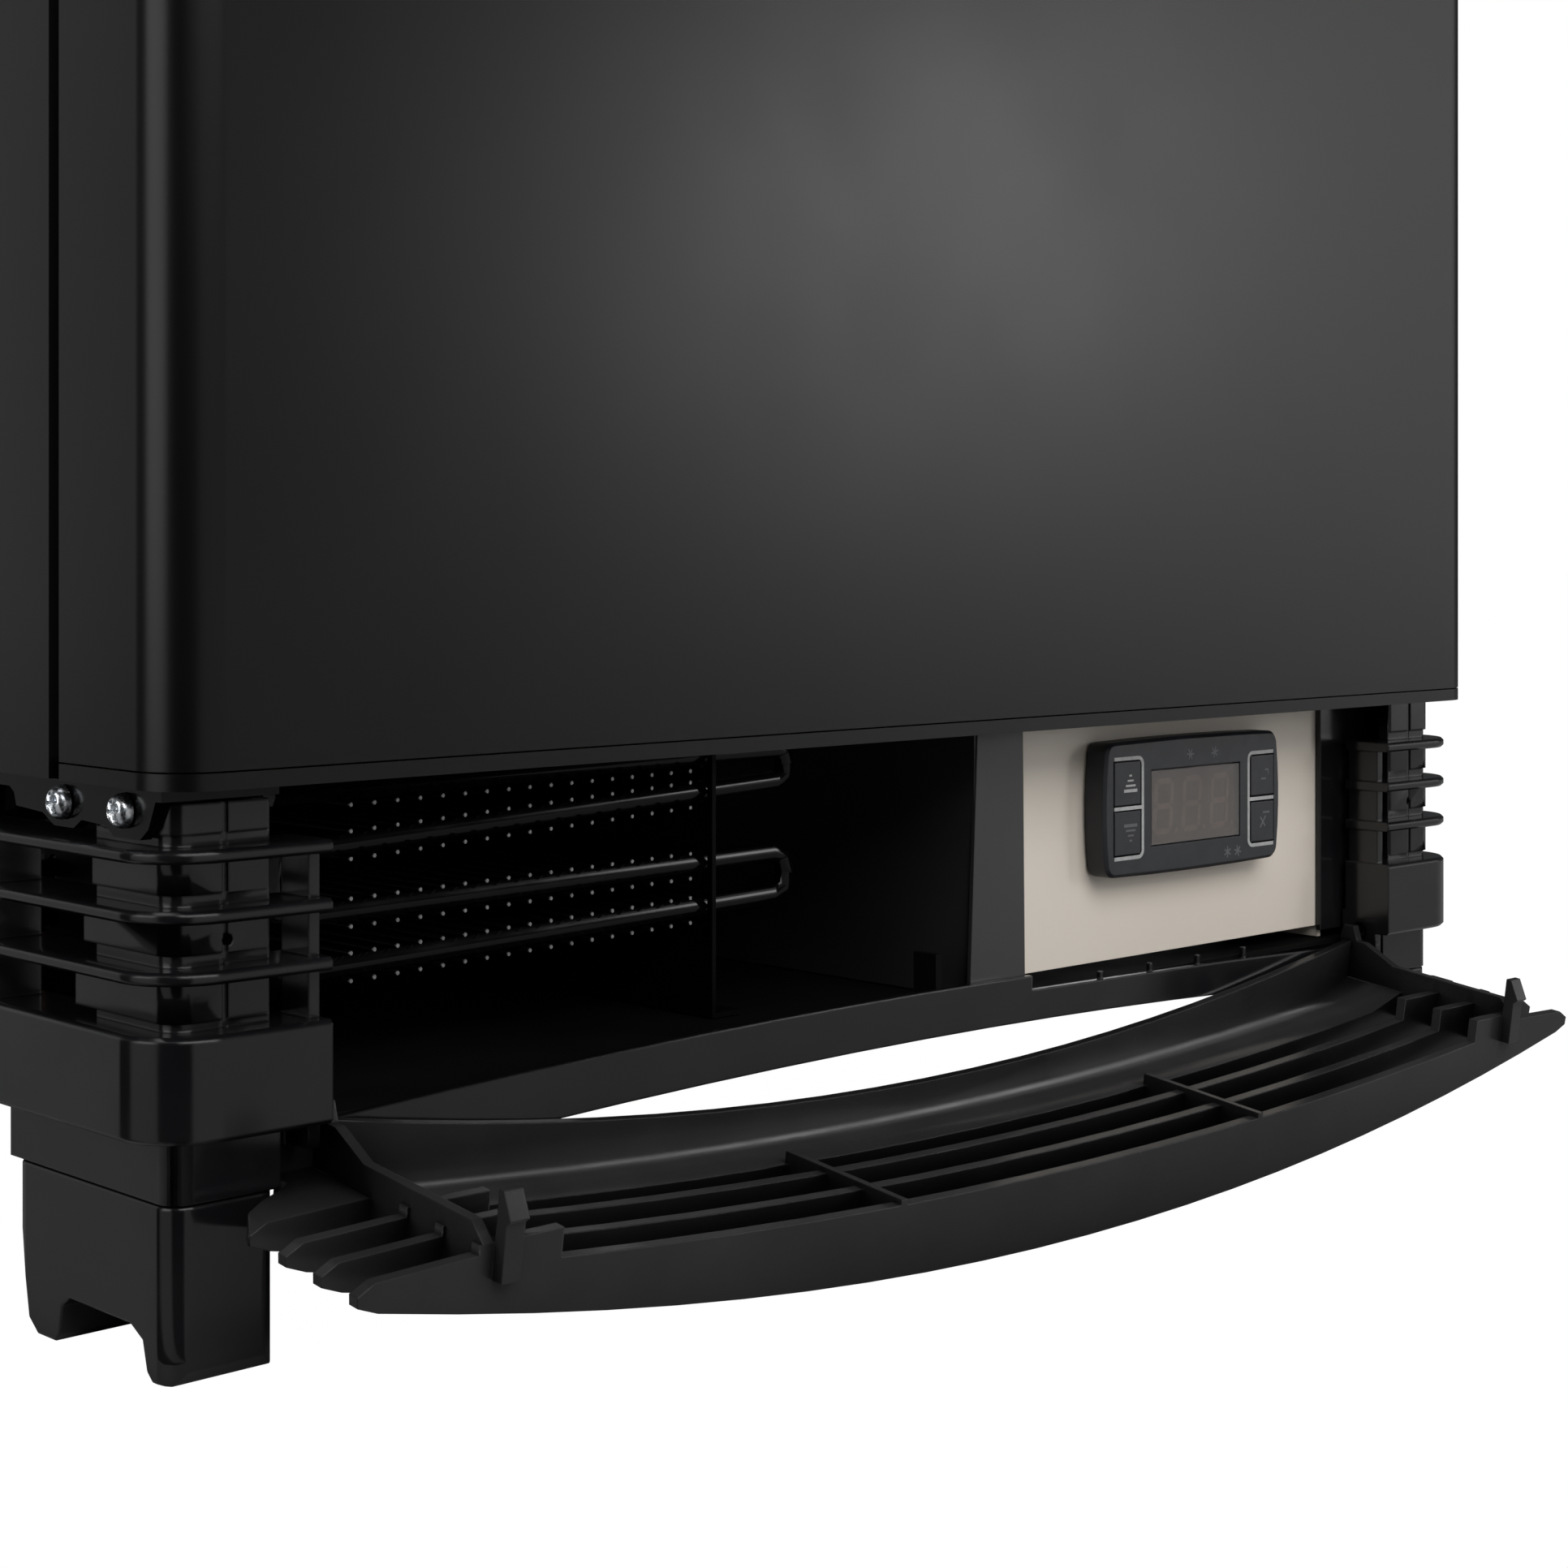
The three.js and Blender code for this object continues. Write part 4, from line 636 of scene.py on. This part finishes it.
for index in (1, 2):
    low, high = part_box(f"hinge_screw_{index}")
    middle = (low + high) / 2
    pan_head(
        f"hinge_screw_head_{index}",
        f"hinge_screw_{index}",
        Vector((low.x + HINGE_HEAD, middle.y, middle.z)),
        (-1, 0, 0),
        HEAD_RADIUS,
        HINGE_HEAD,
    )
    low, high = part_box(f"rear_screw_{index}")
    middle = (low + high) / 2
    pan_head(
        f"rear_screw_head_{index}",
        f"rear_screw_{index}",
        Vector((middle.x, high.y - REAR_HEAD, middle.z)),
        (0, 1, 0),
        HEAD_RADIUS,
        REAR_HEAD,
    )


# ------------------------------------------------------------- condenser wires
TUBE_ROWS = ((104.3, 106.5), (92.4, 99.0), (78.7, 81.5), (67.1, 71.5))  # height at each end
TUBE_ENDS = (-163.0, -16.0)
TUBE_RADIUS = 2.4
WIRE_RADIUS = 0.62
WIRE_FIRST, WIRE_PITCH, WIRE_COUNT = -145.5, 5.95, 17
WIRE_FRONT, WIRE_BACK = 40.2, 159.6


def condenser_wires():
    """Stiffening wires welded above and below every tube pass, with bare cut ends."""
    bm = bmesh.new()
    for left, right in TUBE_ROWS:
        for side in (-1, 1):
            for i in range(WIRE_COUNT):
                x = WIRE_FIRST + WIRE_PITCH * i
                share = (x - TUBE_ENDS[0]) / (TUBE_ENDS[1] - TUBE_ENDS[0])
                z = left + (right - left) * share + side * (TUBE_RADIUS + WIRE_RADIUS - 0.1)
                front, back = at(x, WIRE_FRONT, z), at(x, WIRE_BACK, z)
                for cap in rod(bm, front, back, WIRE_RADIUS * MM, 8, 0.25 * MM):
                    cap.material_index = 1
    mesh = mesh_from(bm, "condenser_wires", 50)
    return place("condenser_wires", mesh, [PAINTED_SHADE_BLACK, CUT_STEEL], "cabinet")


condenser_wires()


# ------------------------------------------------------------ controller face
PRINT = 0.05 * MM  # how far a printed mark stands proud


def key_brackets():
    """The pale lines that frame the two pairs of keys."""
    bm = bmesh.new()
    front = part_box("controller_body")[0].y - PRINT
    width = 0.95 * MM
    corner = 1.7 * MM
    for upper, lower, side in (
        ("button_up", "button_down", 1),
        ("button_set", "button_aux", -1),
    ):
        low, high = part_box(lower)[0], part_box(upper)[1]
        split = (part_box(lower)[1].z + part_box(upper)[0].z) / 2
        inner = (high.x if side > 0 else low.x) + side * 0.95 * MM
        outer = low.x if side > 0 else high.x
        top, bottom = high.z + 0.85 * MM, low.z - 0.85 * MM
        turn = (0, 90) if side > 0 else (180, 90)
        upper_arc = arc((inner - side * corner, top - corner), corner, *turn)
        path = [(inner, split), *upper_arc, (outer, top)]
        ribbon(bm, path, width, front, PRINT * 2)
        turn = (0, -90) if side > 0 else (180, 270)
        lower_arc = arc((inner - side * corner, bottom + corner), corner, *turn)
        path = [(inner, split), *lower_arc, (outer, bottom)]
        ribbon(bm, path, width, front - 0.01 * MM, PRINT * 2)
        path = [(inner, split), (outer, split)]
        ribbon(bm, path, width, front - 0.02 * MM, PRINT * 2)
    mesh = mesh_from(bm, "key_brackets")
    return place("key_brackets", mesh, [PRINTED_LINE], "cabinet")


def stacked_triangle(key, upward):
    """Four bars that narrow to a point, printed on a key."""
    bm = bmesh.new()
    low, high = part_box(key)
    middle = Vector(((low.x + high.x) / 2 + 1.1 * MM, 0, (low.z + high.z) / 2))
    front = low.y - PRINT
    direction = 1 if upward else -1
    for i, (width, height) in enumerate(((5.4, 0.8), (3.9, 0.5), (2.4, 0.45), (1.0, 0.45))):
        z = middle.z + direction * (-1.9 + 1.3 * i) * MM
        half = width * MM / 2
        path = [(middle.x - half, z), (middle.x + half, z)]
        ribbon(bm, path, height * MM, front, PRINT * 2)
    name = key + "_mark"
    mesh = mesh_from(bm, name)
    ink = PRINTED_LINE if upward else FAINT_PRINT
    return place(name, mesh, [ink], BODY_OF[key])


def key_symbol(key, strokes):
    """Faint line symbol on a key, strokes in millimetres from its middle."""
    bm = bmesh.new()
    low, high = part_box(key)
    x, z = (low.x + high.x) / 2, (low.z + high.z) / 2
    for layer, stroke in enumerate(strokes):
        path = [(x + a * MM, z + b * MM) for a, b in stroke]
        ribbon(bm, path, 0.5 * MM, low.y - PRINT - 0.005 * MM * layer, PRINT * 2)
    name = key + "_mark"
    return place(name, mesh_from(bm, name), [FAINT_PRINT], BODY_OF[key])


def indicator_marks():
    """Faint six-pointed symbols, two above and two below the display."""
    bm = bmesh.new()
    low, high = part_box("controller_display")
    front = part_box("controller_body")[0].y - PRINT
    above, below = high.z + 3.6 * MM, low.z - 4.3 * MM
    spots = ((0.43, above), (0.71, above), (0.86, below), (0.98, below))
    for index, (share, z) in enumerate(spots):
        x = low.x + (high.x - low.x) * share
        for stroke in range(3):
            angle = math.radians(60 * stroke + 15 * index)
            reach = Vector((math.cos(angle), math.sin(angle))) * 1.5 * MM
            path = [(x - reach.x, z - reach.y), (x + reach.x, z + reach.y)]
            ribbon(bm, path, 0.45 * MM, front - 0.006 * MM * stroke, PRINT * 2)
    mesh = mesh_from(bm, "indicator_marks")
    return place("indicator_marks", mesh, [FAINT_PRINT], "cabinet")


SEGMENTS = (
    # start and end of each bar, as shares of the digit's half width and half height
    ((-1, 1), (1, 1)),
    ((1, 1), (1, 0)),
    ((1, 0), (1, -1)),
    ((-1, -1), (1, -1)),
    ((-1, 0), (-1, -1)),
    ((-1, 1), (-1, 0)),
    ((-1, 0), (1, 0)),
)


def digit_bar(bm, start, end, width, front):
    """One pointed bar of a digit."""
    a, b = Vector(start), Vector(end)
    along = (b - a).normalized()
    side = Vector((-along.y, along.x)) * width / 2
    inset = along * width * 0.62
    a2, b2 = a + along * width * 0.12, b - along * width * 0.12
    outline = [a2, a + inset - side, b - inset - side, b2, b - inset + side, a + inset + side]
    raise_outline(bm, outline, front, 0.1 * MM)


def display():
    """Smoked pane over an unlit three-digit display."""
    low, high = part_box("controller_display")
    middle = (low + high) / 2
    digits = bmesh.new()
    face = high.y - 0.35 * MM
    half = Vector((3.3, 6.6)) * MM
    lean = 0.07
    for index in (-1, 0, 1):
        x, z = middle.x + index * 12 * MM, middle.z
        for start, end in SEGMENTS:
            ends = [
                (x + half.x * u + lean * half.y * v, z + half.y * v) for u, v in (start, end)
            ]
            digit_bar(digits, *ends, 1.5 * MM, face - 0.06 * MM)
        dot = arc((x + half.x + 2.0 * MM, z - half.y), 0.7 * MM, 0, 330, 11)
        raise_outline(digits, [Vector(p) for p in dot], face - 0.06 * MM, 0.1 * MM)
    mesh = mesh_from(digits, "display_digits")
    place("display_digits", mesh, [UNLIT_SEGMENT], "cabinet")

    backing = bmesh.new()
    corners = [Vector((low.x, low.z)), Vector((high.x, low.z))]
    corners += [Vector((high.x, high.z)), Vector((low.x, high.z))]
    raise_outline(backing, corners, face, 0.3 * MM)
    mesh = mesh_from(backing, "display_backing")
    place("display_backing", mesh, [DISPLAY_FACE], "cabinet")

    pane = bmesh.new()
    raise_outline(pane, corners, low.y, 0.5 * MM)
    mesh = mesh_from(pane, "display_pane")
    piece = place("display_pane", mesh, [SLOT_FINISH["smoked_window"]], "cabinet")
    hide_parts("controller_display")


key_brackets()
stacked_triangle("button_up", True)
stacked_triangle("button_down", False)
CORNER_AND_BAR = [[(1.2, 1.4), (2.6, 1.4), (2.6, 0.2)], [(-0.6, -1.0), (1.6, -1.0)]]
BAR_AND_CROSS = [
    [(0.2, 2.4), (3.2, 2.4)],
    [(-1.0, -1.6), (1.4, 1.4)],
    [(-1.0, 1.2), (1.2, -1.4)],
]
key_symbol("button_set", CORNER_AND_BAR)
key_symbol("button_aux", BAR_AND_CROSS)
indicator_marks()
display()


# -------------------------------------------------------------------- shelves
SHELF_GAPS = 24
SHELF_WIRE_RADIUS = 1.25 * MM
BRACE_RADIUS = 1.1 * MM


def wire_shelf(node):
    """A coated wire shelf: a round rim with close wires from front to back."""
    bm = bmesh.new()
    low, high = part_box(node)
    rim = (high.z - low.z) / 2
    z = (low.z + high.z) / 2
    corners = [
        Vector((x, y, z))
        for x, y in (
            (low.x + rim, low.y + rim),
            (high.x - rim, low.y + rim),
            (high.x - rim, high.y - rim),
            (low.x + rim, high.y - rim),
        )
    ]
    for a, b in zip(corners, corners[1:] + corners[:1]):
        rod(bm, a, b, rim, 14, rim * 0.6)
    for i in range(1, SHELF_GAPS):
        x = low.x + (high.x - low.x) * i / SHELF_GAPS
        front, back = Vector((x, low.y + rim, z)), Vector((x, high.y - rim, z))
        rod(bm, front, back, SHELF_WIRE_RADIUS, 10)
    middle = (low.y + high.y) / 2
    brace = z - BRACE_RADIUS
    start = Vector((low.x + rim, middle, brace))
    end = Vector((high.x - rim, middle, brace))
    rod(bm, start, end, BRACE_RADIUS, 10)
    name = node + "_wires"
    finish = [SLOT_FINISH["shelf_wire"]]
    piece = place(name, mesh_from(bm, name, 50), finish, "cabinet")
    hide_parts(node)


wire_shelf("shelf_1")
wire_shelf("shelf_2")


# ----------------------------------------------------------------- compressor
SHELL_PROFILE = (
    # share of the radius and share of the height, from the foot to the crown
    (0.60, 0.0), (0.72, 0.012), (0.82, 0.04), (0.90, 0.09), (0.94, 0.16), (0.953, 0.23),
    (0.953, 0.295), (0.975, 0.303), (1.0, 0.312), (1.0, 0.335), (0.972, 0.345), (0.955, 0.352),
    (0.945, 0.52), (0.92, 0.70), (0.87, 0.80), (0.77, 0.885), (0.62, 0.94), (0.42, 0.975),
    (0.2, 0.994),
)
SHELL_SIDES = 72


def compressor():
    """Welded steel shell turned on a vertical axis, with its seam bead."""
    low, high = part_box("compressor_shell")
    middle = (low + high) / 2
    radius = (high.x - low.x) / 2
    height = high.z - low.z
    bm = bmesh.new()
    loops = []
    for share, lift in SHELL_PROFILE:
        loop = []
        for i in range(SHELL_SIDES):
            angle = 2 * math.pi * i / SHELL_SIDES
            reach = share * radius
            spot = (middle.x + reach * math.cos(angle), middle.y + reach * math.sin(angle))
            loop.append(bm.verts.new((*spot, low.z + lift * height)))
        loops.append(loop)
    for a, b in zip(loops, loops[1:]):
        for i in range(SHELL_SIDES):
            j = (i + 1) % SHELL_SIDES
            bm.faces.new((a[i], a[j], b[j], b[i]))
    bm.faces.new(loops[0][::-1])
    bm.faces.new(loops[-1])
    mesh = mesh_from(bm, "compressor_shell_turned", 40)
    finish = [finish_for("compressor_shell")]
    piece = place("compressor_shell_turned", mesh, finish, "cabinet")
    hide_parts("compressor_shell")


compressor()


# ---------------------------------------------------------------------- studio
def light_path(nodes, output):
    return nodes.new("ShaderNodeLightPath").outputs[output]


def pale_floor():
    """A pale floor that stays light to the eye and dim in reflections, as in a studio."""
    mesh = bpy.data.meshes.new("floor")
    reach = 12.0
    corners = [(-reach, -reach, 0), (reach, -reach, 0), (reach, reach, 0), (-reach, reach, 0)]
    mesh.from_pydata(corners, [], [(0, 1, 2, 3)])
    floor = bpy.data.objects.new("floor", mesh)
    bpy.context.scene.collection.objects.link(floor)
    material = bpy.data.materials.new("pale_floor")
    material.use_nodes = True
    nodes, links = material.node_tree.nodes, material.node_tree.links
    nodes.clear()
    matt = nodes.new("ShaderNodeBsdfDiffuse")
    matt.inputs["Color"].default_value = (0.38, 0.38, 0.38, 1)
    bright = nodes.new("ShaderNodeEmission")
    bright.inputs["Color"].default_value = (1, 1, 1, 1)
    bright.inputs["Strength"].default_value = 1.05
    share = nodes.new("ShaderNodeMath")
    share.operation = "MULTIPLY"
    share.inputs[1].default_value = 0.95
    links.new(light_path(nodes, "Is Camera Ray"), share.inputs[0])
    mix = nodes.new("ShaderNodeMixShader")
    links.new(share.outputs[0], mix.inputs[0])
    links.new(matt.outputs[0], mix.inputs[1])
    links.new(bright.outputs[0], mix.inputs[2])
    out = nodes.new("ShaderNodeOutputMaterial")
    links.new(mix.outputs[0], out.inputs["Surface"])
    mesh.materials.append(material)


def studio_world():
    """White behind the object, a dim room in its reflections."""
    world = bpy.data.worlds.new("studio")
    bpy.context.scene.world = world
    world.use_nodes = True
    nodes, links = world.node_tree.nodes, world.node_tree.links
    nodes.clear()
    room = nodes.new("ShaderNodeBackground")
    room.inputs["Color"].default_value = (0.95, 0.97, 1.0, 1)
    room.inputs["Strength"].default_value = 0.05
    backdrop = nodes.new("ShaderNodeBackground")
    backdrop.inputs["Color"].default_value = (1, 1, 1, 1)
    backdrop.inputs["Strength"].default_value = 1.0
    mix = nodes.new("ShaderNodeMixShader")
    links.new(light_path(nodes, "Is Camera Ray"), mix.inputs[0])
    links.new(room.outputs[0], mix.inputs[1])
    links.new(backdrop.outputs[0], mix.inputs[2])
    out = nodes.new("ShaderNodeOutputWorld")
    links.new(mix.outputs[0], out.inputs["Surface"])


def black_card(name, first, last):
    """A dark card lying on the floor between two headings in degrees, unseen by the camera."""
    corner = at(-205, 5, 4)
    reach = 3.0
    corners = [tuple(corner)]
    for angle in (first, (first + last) / 2, last):
        heading = math.radians(angle)
        spot = corner + Vector((math.cos(heading), math.sin(heading), 0)) * reach
        corners.append(tuple(spot))
    mesh = bpy.data.meshes.new(name)
    mesh.from_pydata(corners, [], [tuple(range(len(corners)))])
    card = bpy.data.objects.new(name, mesh)
    bpy.context.scene.collection.objects.link(card)
    card.visible_camera = False
    card.visible_shadow = False
    black = bpy.data.materials.new(name)
    black.use_nodes = True
    shader = black.node_tree.nodes["Principled BSDF"]
    shader.inputs["Base Color"].default_value = (0, 0, 0, 1)
    shader.inputs["Specular IOR Level"].default_value = 0
    mesh.materials.append(black)


def softbox(name, position, target, size, watts, colour=(1, 1, 1)):
    light = bpy.data.lights.new(name, "AREA")
    light.shape = "RECTANGLE"
    light.size, light.size_y = size
    light.energy = watts
    light.color = colour
    lamp = bpy.data.objects.new(name, light)
    lamp.location = position
    lamp.rotation_euler = (Vector(target) - Vector(position)).to_track_quat("-Z", "Y").to_euler()
    lamp.visible_camera = False
    bpy.context.scene.collection.objects.link(lamp)
    return lamp


def camera():
    """Low in front of the left corner and level, with the frame shifted down."""
    data = bpy.data.cameras.new("camera")
    data.sensor_width = 36
    data.lens = CAMERA_LENS
    data.shift_y = CAMERA_SHIFT
    eye = bpy.data.objects.new("camera", data)
    eye.location = at(*CAMERA_PLACE)
    eye.rotation_euler = (math.radians(90), 0, math.radians(CAMERA_HEADING))
    bpy.context.scene.collection.objects.link(eye)
    bpy.context.scene.camera = eye


CAMERA_PLACE = (-470.38, -430.75, 156.64)
CAMERA_HEADING = -43.73
CAMERA_LENS = 61.92
CAMERA_SHIFT = -0.1543
DOOR_MIDDLE = (0, FRONT_Y, 0.25)
LEFT_CORNER = (-0.2, -0.2, 0.25)
pale_floor()
studio_world()
softbox("panel_right", (1.85, -1.4, 0.4), (0, FRONT_Y, 0.2), (1.35, 1.5), 6.6)
softbox("spot_right", (1.41, -1.61, 0.48), (-0.03, FRONT_Y, 0.22), (0.4, 0.4), 3.5)
softbox("side_left", (-2.056, 0.028, 0.7), LEFT_CORNER, (1.36, 1.7), 17)
softbox("back_left", (-0.82, 1.7, 0.5), LEFT_CORNER, (1.2, 1.4), 2.1)
softbox("front_low", (-0.03, -2.19, 0.4), LEFT_CORNER, (1.87, 1.2), 2.4)
softbox("fill_front", (-0.3, -1.7, 1.45), DOOR_MIDDLE, (2.0, 1.2), 33)
black_card("floor_card_left", 124, 150)
black_card("floor_card_front", 197, 250)
softbox("top", (0.1, 0.1, 2.4), (0, 0, 0.2), (2.2, 2.2), 22)
softbox("back_right", (1.9, 1.7, 1.0), (0, 0, 0.35), (0.9, 1.4), 8)
camera()
bpy.context.scene.view_settings.view_transform = "Standard"
